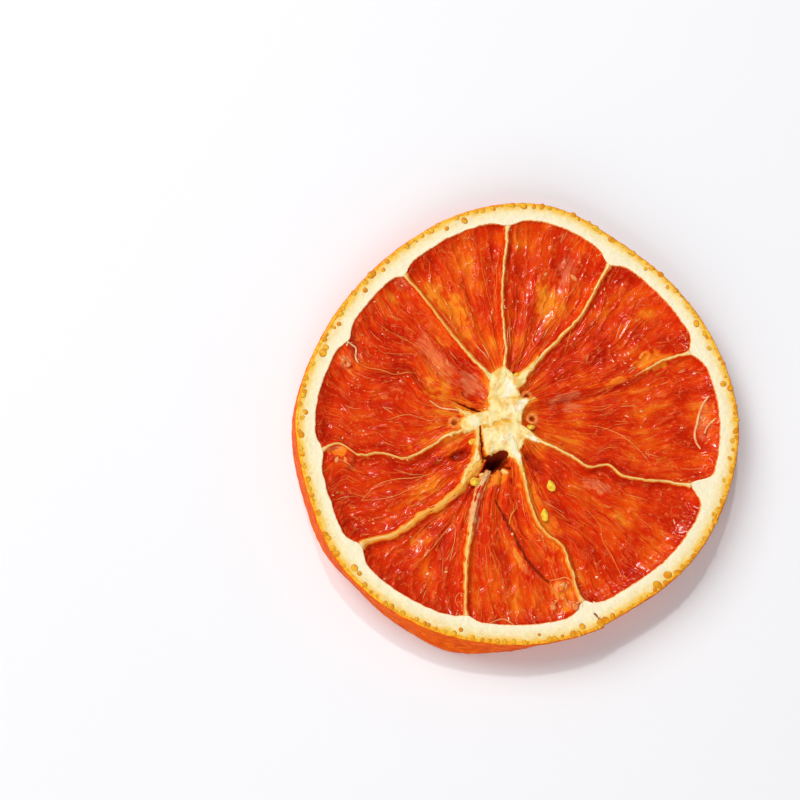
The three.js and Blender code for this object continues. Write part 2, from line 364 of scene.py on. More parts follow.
def path_distance(xy, path):
    """Distance to a path of straight stretches, and the share of the path passed by then."""
    path = np.asarray(path, float)
    best = np.full(xy.shape[:-1], 1e3)
    passed = np.zeros(xy.shape[:-1])
    steps = len(path) - 1
    for i in range(steps):
        stretch = path[i + 1] - path[i]
        t = np.clip((xy - path[i]) @ stretch / (stretch @ stretch), 0, 1)
        far = np.linalg.norm(xy - path[i] - t[..., None] * stretch, axis=-1)
        passed = np.where(far < best, (i + t) / steps, passed)
        best = np.minimum(best, far)
    return best, passed


def close_to(gap, reach):
    """1 at an edge, fading within about reach mm outside it."""
    return np.exp(-np.clip(gap, 0, 9) / reach)


def tear_depth(xy, top):
    """The upper face let down into the tears, and how far inside a tear each point is."""
    inside = np.zeros(xy.shape[:-1])
    shaken = xy + np.stack([relief(xy, 0.14, 0.7, seed, octaves=1) for seed in (27, 28)], -1)
    for tear in TEARS:
        far, passed = path_distance(shaken, tear.path)
        half = tear.width / 2 * np.sqrt(np.sin(np.pi * np.clip(passed, 0.02, 0.98)))
        half = half * (1 + 0.8 * noise(passed * 14, passed * 0, 29))
        here = 1 - smooth(far, half * 0.6, half + 0.12)
        top = top - tear.depth * here
        inside = np.maximum(inside, here)
    return top, inside


def hole_gap(xy):
    """Distance outwards from the edge of the two-lobed hole, and where that edge is."""
    off = xy - HOLE
    turn = np.arctan2(off[..., 1], off[..., 0])
    spokes = HOLE_EDGE - HOLE
    edge_turn = np.arctan2(spokes[:, 1], spokes[:, 0])
    reach = np.interp(turn, edge_turn, np.linalg.norm(spokes, axis=1), period=2 * np.pi)
    reach = reach + waves(HOLE_FRAY, np.degrees(turn))
    edge = np.stack((reach * np.cos(turn), reach * np.sin(turn)), -1)
    return np.linalg.norm(off, axis=-1) - reach, edge + HOLE


def narrowed(xy):
    """The plan points of the lower face, drawn in round the hole so that its wall slopes."""
    gap, _ = hole_gap(xy)
    return HOLE + (xy - HOLE) * lerp(HOLE_TAPER, 1, smooth(gap, 0, HOLE_SLOPE))[..., None]


class Mark(NamedTuple):
    """An oval place on the plan, long along its bearing."""
    x: float
    y: float
    half_long: float
    half_wide: float
    bearing: float
    strength: float = 1


def ovals(*rows):
    """Marks from rows of their numbers."""
    return [Mark(*row) for row in rows]


def marked(xy, marks, fray=0.35):
    """How strongly each point is marked, with frayed edges."""
    strongest = np.zeros(xy.shape[:-1])
    uneven = relief(xy, fray, 1.3, seed=40)
    for mark in marks:
        turn = math.radians(mark.bearing)
        along = (xy[..., 0] - mark.x) * math.cos(turn) + (xy[..., 1] - mark.y) * math.sin(turn)
        aside = (xy[..., 1] - mark.y) * math.cos(turn) - (xy[..., 0] - mark.x) * math.sin(turn)
        far = np.hypot(along / mark.half_long, aside / mark.half_wide)
        strongest = np.maximum(strongest, mark.strength * (1 - smooth(far + uneven, 0.55, 1.15)))
    return strongest


# ---- meshes


class Form:
    """Points with closed faces on them, and the values that their material reads."""

    def __init__(self, points, faces, flat=(), **values):
        self.points, self.faces, self.flat, self.values = points, list(faces), list(flat), values

    def triangles(self):
        fans = [f[:, (0, i, i + 1)] for f in self.faces + self.flat for i in range(1, f.shape[1] - 1)]
        return np.concatenate(fans)

    def outwards(self):
        """Turns the faces round if they enclose a negative volume."""
        a, b, c = np.moveaxis(self.points[self.triangles()], 1, 0)
        if np.einsum("ij,ij->", a, np.cross(b, c)) < 0:
            self.faces = [f[:, ::-1] for f in self.faces]
            self.flat = [f[:, ::-1] for f in self.flat]
        return self

    def joined(self, other):
        """Both forms as one; values are those that both have."""
        shift = len(self.points)
        faces = self.faces + [f + shift for f in other.faces]
        flat = self.flat + [f + shift for f in other.flat]
        values = {k: np.concatenate((v, other.values[k])) for k, v in self.values.items()}
        return Form(np.concatenate((self.points, other.points)), faces, flat, **values)

    def mesh(self, name):
        used, place = np.unique(np.concatenate([f.ravel() for f in self.faces + self.flat]),
                                return_inverse=True)
        data = bpy.data.meshes.new(name)
        data.vertices.add(len(used))
        data.vertices.foreach_set("co", in_frame(self.points[used]).astype(np.float32).ravel())
        sizes = np.concatenate([np.full(len(f), f.shape[1]) for f in self.faces + self.flat])
        data.loops.add(len(place))
        data.loops.foreach_set("vertex_index", place.astype(np.int32))
        data.polygons.add(len(sizes))
        data.polygons.foreach_set("loop_start", (np.cumsum(sizes) - sizes).astype(np.int32))
        soft = np.arange(len(sizes)) < sum(len(f) for f in self.faces)
        data.update(calc_edges=True)
        data.polygons.foreach_set("use_smooth", soft)
        for key, value in self.values.items():
            value = np.asarray(value, np.float32)[used]
            if value.ndim == 2:
                layer = data.uv_layers.new(name=key)
                layer.data.foreach_set("uv", value[place].ravel())
            else:
                layer = data.attributes.new(key, "FLOAT", "POINT")
                layer.data.foreach_set("value", value)
        data.update()
        return data


def slab(xy, top, bottom, keep=None, wrap=False, below=None, **values):
    """A closed form between two heights over a grid of plan points, less the squares not kept."""
    below = xy if below is None else below
    index = np.arange(top.size).reshape(top.shape)
    if wrap:
        index = np.vstack((index, index[:1]))
    corners = np.stack((index[:-1, :-1], index[1:, :-1], index[1:, 1:], index[:-1, 1:]), -1)
    keep = np.ones(corners.shape[:2], bool) if keep is None else keep
    upper, lower = corners[keep], corners[keep][:, ::-1] + top.size
    beside = np.pad(keep, 1)
    if wrap:
        beside[0], beside[-1] = beside[-2], beside[1]
    flat = []
    for start, end, rows, columns in ((0, 1, 0, -1), (1, 2, 1, 0), (2, 3, 0, 1), (3, 0, -1, 0)):
        neighbour = beside[1 + rows:1 + rows + keep.shape[0], 1 + columns:1 + columns + keep.shape[1]]
        edge = corners[keep & ~neighbour]
        a, b = edge[:, start], edge[:, end]
        flat.append(np.stack((b, a, a + top.size, b + top.size), -1))
    points = np.concatenate([np.dstack(layer).reshape(-1, 3) for layer in ((xy, top), (below, bottom))])
    both = {k: np.concatenate((v.reshape(top.size, -1),) * 2).squeeze() for k, v in values.items()}
    return Form(points, (upper, lower), flat, **both).outwards()


def loft(sections, wrap=False, **values):
    """A closed tube through rings of points, with fans over its two ends unless it joins up."""
    stations, around = sections.shape[:2]
    points = sections.reshape(-1, 3)
    index = np.arange(len(points)).reshape(stations, around)
    index = np.hstack((index, index[:, :1]))
    if wrap:
        index = np.vstack((index, index[:1]))
    faces = np.stack((index[:-1, :-1], index[1:, :-1], index[1:, 1:], index[:-1, 1:]), -1).reshape(-1, 4)
    values = {k: v.reshape(len(points), -1).squeeze() for k, v in values.items()}
    flat = []
    if not wrap:
        for end, ring in ((0, index[0]), (-1, index[-1][::-1])):
            hub = np.full(around, len(points))
            points = np.vstack((points, sections[end].mean(0)))
            values = {k: np.concatenate((v, v[ring[:1]])) for k, v in values.items()}
            flat.append(np.stack((ring[:-1], ring[1:], hub), -1))
    return Form(points, (faces,), flat, **values).outwards()


def cut_hole(xy, wrap=False):
    """The grid with its nearest points moved to the edge of the hole, and which squares stay."""
    gap, edge = hole_gap(xy)
    looped = np.vstack((gap, gap[:1])) if wrap else gap
    keep = looped[:-1, :-1] + looped[1:, :-1] + looped[1:, 1:] + looped[:-1, 1:] > 0
    stays = np.pad(keep, 1, mode="edge")
    if wrap:
        stays[0], stays[-1] = stays[-2], stays[1]
    round_point = np.stack((stays[:-1, :-1], stays[1:, :-1], stays[1:, 1:], stays[:-1, 1:]))
    round_point = round_point[:, :gap.shape[0], :gap.shape[1]]
    rim = round_point.any(0) & ~round_point.all(0)
    return np.where(rim[..., None], edge, xy), keep


def new_object(name, data):
    """An object in the scene."""
    made = bpy.data.objects.new(name, data)
    bpy.context.scene.collection.objects.link(made)
    return made


def add_piece(name, form, material):
    """Links a finished form as a piece of the slice that stands for the solid."""
    data = form if isinstance(form, bpy.types.Mesh) else form.mesh(name)
    piece = new_object(name, data)
    if material.name not in data.materials:
        data.materials.clear()
        data.materials.append(material)
    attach(piece, BODY)
    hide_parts(NODE)


# ---- forms of the parts

GRID = 0.14  # spacing of the points
WALL_FOOT = 0.9  # how far from a wall the pulp sinks to its full depth
WALL_SHOULDER = 0.4  # depth of the pulp right beside a wall, as a share of the full one
WALL_TUCK = 0.9  # how far a wall runs in under the pith
WALL_STEPS = 23
WALL_UNDER_STEPS = 9
WALL_UNDER_FOOT = 0.6  # how far a wall's lower ridge is wider than its crest, on each side
PITH_FOOT = 2.4
PITH_SHOULDER = 0.3
TIP_DROP = 0.5  # how far the pulp is sunk at the tip of its cell
CORE_RISE = 0.2
SAC_WIDTH = 1.7
SAC_LENGTH = 5.5
SAC_RIDGE = 0.13  # height of the skins between the juice sacs
PULP_START = 1.5  # from the middle of the core
UNDER_PITH = 0.5  # how far the pulp runs in under the pith
RIM_SHARE = 0.9  # share of the way out at which widths by the rim are taken
# Sunk pockets in the pulp; the pulp in them is also painted darker and less amber, as painted shade
POCKETS = ovals(
    (-7.8, -4.6, 1.7, 0.8, 25), (2.4, -5.7, 2, 1, -48, 0.9), (-1, -8.3, 0.7, 0.35, 115, 0.4),
    (-6.6, 3.3, 1.4, 0.5, -30, 0.5), (-0.4, 6.6, 0.5, 0.35, 90, 0.7),
)
PITS = ((1.24, 3.71), (1.9, 0.57), (-8.7, -0.3))
PIT_RADIUS = 0.33
PIT_RING = 1.8  # radius of the ring round a pit, in radii of the pit
PIT_RING_WIDTH = 0.2
PIT_DEPTH = 0.25
PIT_RING_HEIGHT = 0.15
POCKET_DEPTH = 0.8
PITH_DEEPEST = 0.12  # how far the pulp stays below the pith that it runs under
THINNEST = 0.3
CORE_THINNEST = 0.4
BULGES = ovals(
    (-24, -5.9, 2, 1.7, 20), (5, -22.3, 0.9, 0.7, 30, 0.6), (6.4, -25.2, 1.1, 0.8, 20, 0.6),
    (3.7, -25, 0.7, 0.9, 0, 0.5), (5.1, -24.1, 0.6, 0.6, 0, 0.5), (13.1, 24.2, 1.5, 0.8, 120, 0.4),
    (-23.4, 7.7, 1.2, 1, 60, 0.5), (25.8, 2.8, 0.9, 0.7, 60, 0.5), (25.4, -0.4, 0.8, 0.6, 60, 0.5),
)
BULGE_HEIGHT = 0.55
# Milky film on the pulp; some patches are pale where the pulp shows soft highlights, as a painted highlight
FILMS_AND_SHEEN = ovals(
    (-6.4, 5.2, 2.2, 1.5, 120, 0.7), (5.1, -22.3, 1.1, 0.6, 10, 1), (3.7, -25, 0.5, 0.7, 0, 0.8),
    (6.6, -24.9, 1, 0.5, -10, 1), (-0.2, -19.3, 2.2, 0.4, -60, 0.25), (10.5, -22.7, 1, 0.35, 30, 0.8),
    (10.4, -8.6, 1.9, 1.1, -30, 0.6), (7.5, 2.4, 1.6, 0.7, 20, 0.6), (-23.4, 7.7, 1, 0.8, 60, 0.7),
    (6.4, 3.6, 2.2, 0.9, 20, 0.5), (-11, 8.5, 5, 1.4, 128, 0.5), (-6.2, -13.2, 3.4, 0.55, 77, 0.85),
    (25.6, 1.2, 2.6, 1, 80, 0.45), (7.5, 22.5, 2.4, 1.2, 75, 0.4), (-16, 19.5, 2, 1.1, 130, 0.45),
    (-24.6, -4.3, 1.2, 0.4, 20, 0.8),
)
# Places where the pulp is more amber: its own tone, and in part painted light shining through it
AMBERS = ovals(
    (-3.3, -8.1, 1.5, 0.7, 25, 0.6), (13.8, 6.2, 2.2, 0.7, 25, 0.6), (-8.7, 0.6, 1.4, 1, 150, 0.6),
    (-0.2, -19.2, 2.6, 0.5, -60, 0.4), (-9, 14, 5, 3.2, 118, 0.3), (-7, 1, 7, 2.5, 150, 0.45),
    (2.5, -13, 6, 2, 115, 0.4), (19, 9.5, 3, 1.6, 20, 0.6), (13, -10, 4.5, 2.6, -45, 0.25),
    (10, 6.5, 4, 1.5, 20, 0.3), (-10, -3.4, 5, 1.4, 190, 0.4), (-12, -8.5, 5, 1.6, 215, 0.35),
    (5, 18, 5, 2, 80, 0.25), (-24.2, -4.7, 1.6, 0.75, 15, 0.6), (5.6, -23.6, 3, 1.6, -60, 0.5),
    (-13.2, -16, 2.2, 1.1, 225, 0.5),
)


def fibre_place(spot):
    """Place on the fan of fibres: mm aside where the cell is wide, and mm from the core."""
    share = 0.75
    turn = np.radians(wall_bearing(spot.cell + 1, share) - wall_bearing(spot.cell, share))
    return spot.across * turn * MEAN_RADIUS * share, spot.from_core


def sac_ridge(spot, seed=3):
    """1 on the skins between neighbouring juice sacs and 0 inside them."""
    aside, out = fibre_place(spot)
    bend = relief(spot.xy, 0.45, 3.5, seed)
    near, second = packed_cells(aside / SAC_WIDTH + bend, out / SAC_LENGTH + bend, seed + 10 * spot.cell)
    return 1 - smooth(second - near, 0, 0.3)


def pits_at(xy):
    """The low rings round the pits by the core, and the inside of the pits."""
    far = np.min([np.linalg.norm(xy - pit, axis=-1) for pit in PITS], 0)
    ring = np.exp(-((far - PIT_RING * PIT_RADIUS) / PIT_RING_WIDTH) ** 2)
    return ring, 1 - smooth(far, PIT_RADIUS * 0.7, PIT_RADIUS * 1.4)


def cell_slopes(spot):
    """How far the pulp is past the tip of its cell, and past the foot of the walls beside it."""
    tip = WALLS[spot.cell].tip
    return smooth(spot.from_core, tip - 1, tip + CORE_SLOPE), smooth(spot.from_wall, 0.1, WALL_FOOT)


def pulp_top(spot):
    """Height of the pulp, sunk between the walls and below the pith."""
    wall = WALLS[spot.cell]
    past_tip, beside = cell_slopes(spot)
    from_pith = spot.from_edge - spot.pith
    beside_pith = lerp(PITH_SHOULDER, 1, smooth(from_pith, 0, PITH_FOOT))
    drop = lerp(TIP_DROP, wall.sunk * lerp(WALL_SHOULDER, 1, beside) * beside_pith, past_tip)
    fold = np.sin(spot.across * FOLDS_PER_CELL * 2 * np.pi + wall.rim)
    fold = fold * np.sin(np.pi * spot.share) * FOLD_HEIGHT * beside
    rim = rim_height(spot.bearing, spot.from_core, spot.length)
    top = rim - drop + fold + CORE_RISE * np.exp(-np.abs(core_gap(spot.xy)) / 0.5)
    top = top + SAC_RIDGE * beside * (sac_ridge(spot) - 0.5)
    top = top + relief(spot.xy, 0.07, 2.2, seed=7, octaves=2) * beside
    top = top + relief(spot.xy, 0.05, 0.9, seed=9, octaves=1) * beside * smooth(from_pith, 4.5, 0.6)
    top = top - POCKET_DEPTH * marked(spot.xy, POCKETS, 0.2) + BULGE_HEIGHT * marked(spot.xy, BULGES, 0.1)
    ring, inside = pits_at(spot.xy)
    top = np.where(from_pith < 0.3, np.minimum(top, rim - PITH_DEEPEST), top)
    return tear_depth(spot.xy, top + PIT_RING_HEIGHT * ring - PIT_DEPTH * inside)


def pulp_bottom(spot):
    """Height of the pulp's lower face."""
    past_tip, beside = cell_slopes(spot)
    rise = lerp(UNDERSIDE_WALL_RISE + 0.2, UNDERSIDE_RISE, beside * past_tip)
    ridges = SAC_RIDGE * beside * (sac_ridge(spot, seed=5) - 0.5)
    return rise - ridges + relief(spot.xy, 0.07, 1.6, seed=17)


def cell_grid(cell, across, reach):
    """Spots of a cell: reach runs from 0 near the core to 1 under the pith."""
    rim = Spot(cell, across, np.full(across.shape, RIM_SHARE))
    start = PULP_START / rim.length
    end = (rim.length - rim.pith + UNDER_PITH) / rim.length
    return Spot(cell, across, lerp(start, end, reach))


def pulp_warmth(spot, pocket, ring):
    """How amber the pulp is: more by the core, less by walls and pith and in pockets. Amber stands in part
    for painted light shining through the pulp, and less of it beside walls and pith and in pockets is painted
    shade.
    """
    aside, out = fibre_place(spot)
    bands = 0.22 * noise(aside / 1.5, out / 6, 23 + spot.cell)
    warmth = WALLS[spot.cell].warmth + relief(spot.xy, 0.3, 5, seed=21) + bands
    # Painted shade: less amber beside the walls, and on the next line beside the pith
    warmth = warmth + marked(spot.xy, AMBERS, 0.5) - 0.22 * np.exp(-spot.from_wall / 0.7)
    warmth = warmth - 0.2 * close_to(spot.from_edge - spot.pith, 1.1)
    warmth = warmth + 0.5 * close_to(core_gap(spot.xy), 0.4)
    return warmth * (1 - 0.9 * pocket) + 0.8 * ring


def pulp_form(cell):
    """The pulp of one cell, from wall to wall and from under the core to under the pith."""
    widest = Spot(cell, np.array(0.5), np.array(0.85))
    rows = int(widest.width / GRID)
    columns = int(widest.length / GRID)
    across, reach = np.meshgrid(np.linspace(0, 1, rows), np.linspace(0, 1, columns), indexing="ij")
    spot = cell_grid(cell, across, reach)
    spot.xy, keep = cut_hole(spot.xy)
    top, torn_and_shade = pulp_top(spot)
    gap, _ = hole_gap(spot.xy)
    top = top - 0.5 * close_to(gap, 0.3)
    bottom = np.minimum(pulp_bottom(spot), top - THINNEST)
    aside, out = fibre_place(spot)
    pocket = marked(spot.xy, POCKETS, 0.2)
    ring, pit = pits_at(spot.xy)
    # Dark paints tears, pockets, pits and the hole's edge towards dark red-brown: painted shade in these
    # hollows
    dark = np.max((torn_and_shade, 0.3 * pocket, 0.6 * pit, 1 - smooth(gap, 0, 0.3)), 0)
    # Film: milky skin and painted soft highlights, and the rings round the pits
    film_and_sheen = np.maximum(marked(spot.xy, FILMS_AND_SHEEN, 0.6), ring)
    return slab(
        spot.xy, top, bottom, keep, below=narrowed(spot.xy),
        Fibre=np.dstack((aside + 30 * cell, out)), Warmth=pulp_warmth(spot, pocket, ring), Dark=dark,
        Ridge=sac_ridge(spot), Film=film_and_sheen,
    )


def along_wall(values, share):
    """A wall's core, middle and rim values, spread over its length."""
    return curve_through(values, np.clip((share - 0.15) / 0.72, 0, 1))


def wall_side(index, share, offset):
    """Spots beside a wall, offset mm anticlockwise of its middle (clockwise if negative)."""
    cells = (index % len(WALLS), (index - 1) % len(WALLS))
    sides = []
    for cell, sign in zip(cells, (1, -1)):
        start, end = wall_bearing(cell, share), wall_bearing(cell + 1, share)
        part = np.clip(sign * offset / cell_width(start, end, share), 0, 1)
        sides.append(Spot(cell, part if sign > 0 else 1 - part, share))
    return sides


def wall_underside(index, share, breadth, cream):
    """The low ridge below a wall: offsets from its middle, points, and their flank and cream values."""
    sides = np.linspace(1, -1, WALL_UNDER_STEPS)[None, :]
    offset = sides * (breadth + WALL_UNDER_FOOT)
    left, right = wall_side(index, share + 0 * offset, offset)
    xy = np.where((offset >= 0)[..., None], left.xy, right.xy)
    height = UNDERSIDE_WALL_RISE + 0.75 * np.abs(sides) ** 1.5 + 0 * offset
    pale = cream * (1 - smooth(np.abs(offset), breadth * 0.75, breadth + 0.16))
    return offset, np.dstack((xy, height)), np.abs(sides) + 0 * offset, pale


def wall_form(index):
    """One wall: a thin uneven crest on soft flanks above, and a low ridge below."""
    wall = WALLS[index]
    length = float(ray_length(np.array(float(wall.rim))))
    pith = RIM_WIDTH + wall.flare
    stations = int((length - wall.root) / GRID)
    share = np.linspace(wall.root / length, (length - pith + WALL_TUCK) / length, stations)[:, None]
    out = share * length
    fade_in = smooth(out, wall.root, wall.root + 1.5)
    to_pith = smooth(out, length - pith - 1.4, length - pith + 0.4)
    wiggle = wobble(out, 0.16, 1.9, 31, index) + wobble(out, 0.08, 0.6, 32, index)
    breadth = along_wall(wall.breadth, share) * (1 + wobble(out, 0.5, 0.9, 33, index))
    breadth = breadth * (0.4 + 0.6 * fade_in) + 0.3 * to_pith
    cream = np.clip(along_wall(wall.cream, share) + wobble(out, 0.3, 2.3, 35, index), 0, 1)
    shown = np.clip(along_wall(wall.shown, share) + wobble(out, 0.2, 1.6, 36, index), 0, 1)
    shown = np.maximum(shown * smooth(out, wall.root, wall.root + 1), to_pith)
    steps = np.linspace(-1, 1, WALL_STEPS)[None, :]
    foot = breadth + np.where(steps < 0, wall.flanks[0], wall.flanks[1]) * (0.6 + 0.4 * fade_in)
    reach = np.sign(steps) * np.abs(steps) ** 1.3 * foot
    offset = reach + wiggle * (1 - to_pith)
    left, right = wall_side(index, share + 0 * offset, offset)
    ahead = offset >= 0
    xy = np.where(ahead[..., None], left.xy, right.xy)
    pulp = np.where(ahead, pulp_top(left)[0], pulp_top(right)[0])
    rim = rim_height(left.bearing, left.from_core, left.length)
    at_core = 1 - smooth(out, wall.tip - 1, wall.tip + 1)
    crest = rim - lerp(WALL_DIP, 0.04, np.maximum(to_pith, at_core)) + wobble(out, 0.05, 1.3, 37, index)
    buried = smooth(out, length - pith - 0.25, length - pith + 0.2)
    beyond = np.clip((np.abs(reach) - breadth) / (foot - breadth), 0, 1)
    proud = np.maximum(crest - pulp, 0.09) * shown - 0.2 * (1 - shown)
    round_off = 0.06 * np.clip(np.abs(reach) / breadth, 0, 1) ** 2
    top = pulp + 0.03 + (proud - round_off) * (1 - smooth(beyond, 0, 1) ** 0.7)
    top = np.where(np.abs(steps) == 1, pulp - 0.35, top) - 0.45 * buried
    cream = np.maximum(cream, to_pith)
    pale = cream * (1 - smooth(np.abs(reach), breadth * 0.45, breadth * 0.95 + 0.1 * to_pith))
    dull = wall.dull * (1 - smooth(out, wall.root + 6.5, wall.root + 9))
    under, under_points, under_flank, under_pale = wall_underside(index, share, breadth, cream)
    aside = np.concatenate((offset, under), 1)
    return loft(
        np.concatenate((np.dstack((xy, top)), under_points), 1),
        Cream=np.concatenate((pale, under_pale), 1), Flank=np.concatenate((beyond, under_flank), 1),
        Dull=dull + 0 * aside, Fibre=np.dstack((aside + 40 * index, out + 0 * aside)),
    )


def rim_cell(bearing, share):
    """The cell at each bearing, and how far across it."""
    cell = np.zeros(bearing.shape, int)
    across = np.zeros(bearing.shape)
    for index in CELLS:
        start, end = wall_bearing(index, share), wall_bearing(index + 1, share)
        turn = (bearing - start) % 360
        inside = turn < end - start
        cell = np.where(inside, index, cell)
        across = np.where(inside, turn / (end - start), across)
    return cell, across


def pith_width(bearing):
    """Width of the pith at bearings: it flares where the walls join it."""
    share = np.full(bearing.shape, RIM_SHARE)
    cell, across = rim_cell(bearing, share)
    width = np.zeros(bearing.shape)
    for index in CELLS:
        spot = Spot(index, across, share)
        width = np.where(cell == index, spot.pith, width)
    return width + wobble(bearing, 0.1, 4, seed=51, octaves=3)


LIP_WIDTH = 0.55
LIP_SEAT = 0.07  # how far the pith sinks to take the lip of the peel
PITH_LAP = 0.2
PITH_WALL = 1.3  # how far the pith's inner edge drops to the pulp
PITH_EDGE_STEPS = (-0.38, -0.26, -0.17, -0.1, -0.04, 0.04, 0.15, 0.45)  # rings of points on that edge
LIP_ABOVE = (1, 1, 1, 1, 0.9, 0.6, 0.35, 0.15)  # how golden the peel is, ring by ring, down from the top
LIP_BELOW = (0.1, 0.2, 0.4, 0.7, 1, 1, 1)
PEEL_SPACING = 0.12
PEEL_TOP_ROUND = 0.3  # radius of its upper edge
PEEL_FOOT_ROUND = 0.25  # and of its lower one
LIP_TUCK = 0.14  # how far the end of the lip turns in
LIP_INSIDE = 0.45  # height that the lip hides in the pith


def pith_form():
    """The ring of pith, from its steep inner edge to under the lip of the peel."""
    rows = int(2 * np.pi * MEAN_RADIUS / GRID)
    bearing = (np.arange(rows) / rows * 360)[:, None]
    width = pith_width(bearing) + PITH_LAP
    edge_steps = np.array(PITH_EDGE_STEPS)[None, :]
    rest = np.linspace(0, 1, 24)[None, 1:]
    offset = np.hstack((edge_steps + 0 * width, lerp(PITH_EDGE_STEPS[-1], width - 0.28, rest)))
    length = ray_length(bearing)
    share = (length - width + offset) / length
    bearing = bearing + 0 * share
    xy = on_ray(bearing, share)
    rim = rim_height(bearing, share * length, length)
    inner = smooth(offset, -0.39, 0.06)
    top = rim - PITH_WALL * (1 - inner) ** 1.3 + relief(xy, 0.035, 1.2, seed=53)
    top = top + relief(xy, 0.05, 4, seed=57, octaves=1) * inner
    top = top - LIP_SEAT * smooth(offset, width - 0.55, width - 0.3)
    top, torn_and_shade = tear_depth(xy, top)
    bottom = 0.03 + 0.9 * (1 - smooth(offset, -0.36, 0.4)) + relief(xy, 0.02, 1.2, seed=59)
    outwards = (xy - CORE) / np.linalg.norm(xy - CORE, axis=-1, keepdims=True)
    below = xy + outwards * (lean(bearing) * smooth(offset, 0, width - 0.3))[..., None]
    return slab(
        xy, top, np.minimum(bottom, top - THINNEST), wrap=True, below=below,
        Fibre=np.dstack((np.radians(bearing) * MEAN_RADIUS, offset)), Dark=torn_and_shade,
        Edge=length - share * length, Inner=offset,
    )


def peel_form():
    """The peel: a band round the slice that laps over its upper and lower edges."""
    rows = int(2 * np.pi * MEAN_RADIUS / PEEL_SPACING)
    bearing = (np.arange(rows) / rows * 360)[:, None]
    fray = wobble(bearing, 0.2, 1.7, seed=61, octaves=2) + wobble(bearing, 0.12, 9, seed=63)
    lap = LIP_WIDTH + fray
    turns = np.linspace(0, np.pi / 2, 6)[None, :]
    round_in = PEEL_TOP_ROUND * (1 - np.sin(turns[:, :-1]))
    upper_inset = np.hstack((lap + LIP_TUCK, lap, lap * 0.75, round_in + 0 * lap))
    round_down = PEEL_TOP_ROUND * (1 - np.cos(turns[:, :-1]))
    upper_drop = np.hstack((0.4 + 0 * lap, 0.03 + 0 * lap, -0.02 + 0 * lap, round_down + 0 * lap))
    side = np.linspace(0.93, 0.07, 14)[None, :]
    foot_in = PEEL_FOOT_ROUND * (1 - np.cos(turns[:, 1:]))
    foot_up = PEEL_FOOT_ROUND * (1 - np.sin(turns[:, 1:]))
    lower_inset = np.hstack((foot_in + 0 * lap, lap, lap + LIP_TUCK))
    inside = LIP_INSIDE + 0 * lap
    lower_rise = np.hstack((foot_up + 0 * lap, 0.01 + 0 * lap, inside))
    rim = RIM_THICKNESS + waves(RIM_WAVES, bearing)
    height = np.hstack((rim - upper_drop, rim * side, lower_rise, inside, rim - LIP_INSIDE))
    inset = np.hstack((upper_inset, 0 * side + 0 * lap, lower_inset, lap + 0.5, lap + 0.5))
    share_up = smooth(height / rim, 0, 1)
    foot, top = outline(bearing, lean(bearing)), outline(bearing)
    bulge = 0.06 * rough(np.radians(bearing) * MEAN_RADIUS / 1.3, height / 1.3, 65)
    edge = lerp(foot, top, share_up[..., None])
    inwards = CORE - edge
    inwards = inwards / np.linalg.norm(inwards, axis=-1, keepdims=True)
    xy = edge + inwards * (inset + bulge + 0.03)[..., None]
    lip = np.zeros(inset.shape)
    below = len(LIP_ABOVE) + side.size
    lip[:, :len(LIP_ABOVE)] = LIP_ABOVE
    lip[:, below:below + len(LIP_BELOW)] = LIP_BELOW
    height, torn_and_shade = tear_depth(xy, height)
    height = np.where(height < 0, 0, height)
    around = np.radians(bearing) * MEAN_RADIUS + 0 * height
    return loft(np.dstack((xy, height)), wrap=True, Lip=lip, Dark=torn_and_shade, Fibre=np.dstack((around, height)))


class Arm(NamedTuple):
    """A tapering stroke of the core."""
    x0: float
    y0: float
    r0: float
    x1: float
    y1: float
    r1: float


CORE_ARMS = [Arm(*row) for row in (
    (-2.1, 5.4, 1.9, -1.8, 2.2, 2.3), (-1.8, 2.2, 2.3, -1.9, -2.4, 2.4), (-4, -1.5, 1.3, -4.3, -4.3, 0.6),
    (-4.5, -0.3, 1.7, -7, -0.4, 1), (-7, -1.1, 0.5, -9.8, -2.4, 0.12), (-6.8, 0.6, 0.5, -8.9, 2.1, 0.15),
    (-3.2, 5.6, 0.7, -4.6, 6.9, 0.2), (-1.9, 6.4, 0.6, -1.85, 8.8, 0.15), (0.2, 5.6, 0.8, 2.9, 9.2, 0.15),
    (0, 2.4, 0.9, 2.3, 3.4, 0.12), (0.2, -1.5, 0.9, 3.4, -3, 0.16), (3.4, -3, 0.16, 5.6, -3.8, 0.08),
    (-0.9, -3.6, 0.9, 0.1, -6.6, 0.24), (0.1, -6.6, 0.24, 0.6, -8.2, 0.1),
    (-5.7, -2, 0.35, -5.9, -5.2, 0.4), (-5.9, -5.4, 0.45, -8, -8.6, 0.3),
    (-5.3, -7.5, 0.2, -4.1, -7.1, 0.17), (-4.1, -7.1, 0.17, -2.9, -6.5, 0.14),
    (-2.9, -6.5, 0.14, -1.7, -7.2, 0.1),
)]
CORE_NOTCH = (-8.33, -0.15)
NOTCH_RADIUS = 0.4
ARM_SOFTNESS = 0.22  # how far the arms melt into each other
OCHRES = ovals(
    (-4.3, -0.8, 0.9, 0.4, 15, 1.3), (-3.1, -0.4, 0.9, 0.35, 25, 1.3), (-1.8, 0, 1, 0.28, 5, 1.1),
    (1.7, -0.7, 1, 0.45, -40, 1.2), (0.3, -0.4, 0.7, 0.45, -35), (-4.2, 3.4, 1.1, 0.25, 85, 0.6),
    (-0.6, 3.3, 1.1, 0.2, 5, 0.6), (-3.2, 0.8, 0.6, 0.15, -30, 0.5), (-8.2, -0.2, 0.8, 0.6, 0, 0.7),
    (-7.6, 1.4, 1.6, 0.35, 150, 0.7), (-7.2, -7.4, 2.2, 0.35, 52, 0.6), (0.9, -3, 0.9, 0.3, -35, 0.6),
    (-4.9, 0, 0.8, 0.2, 70, 0.4),
)
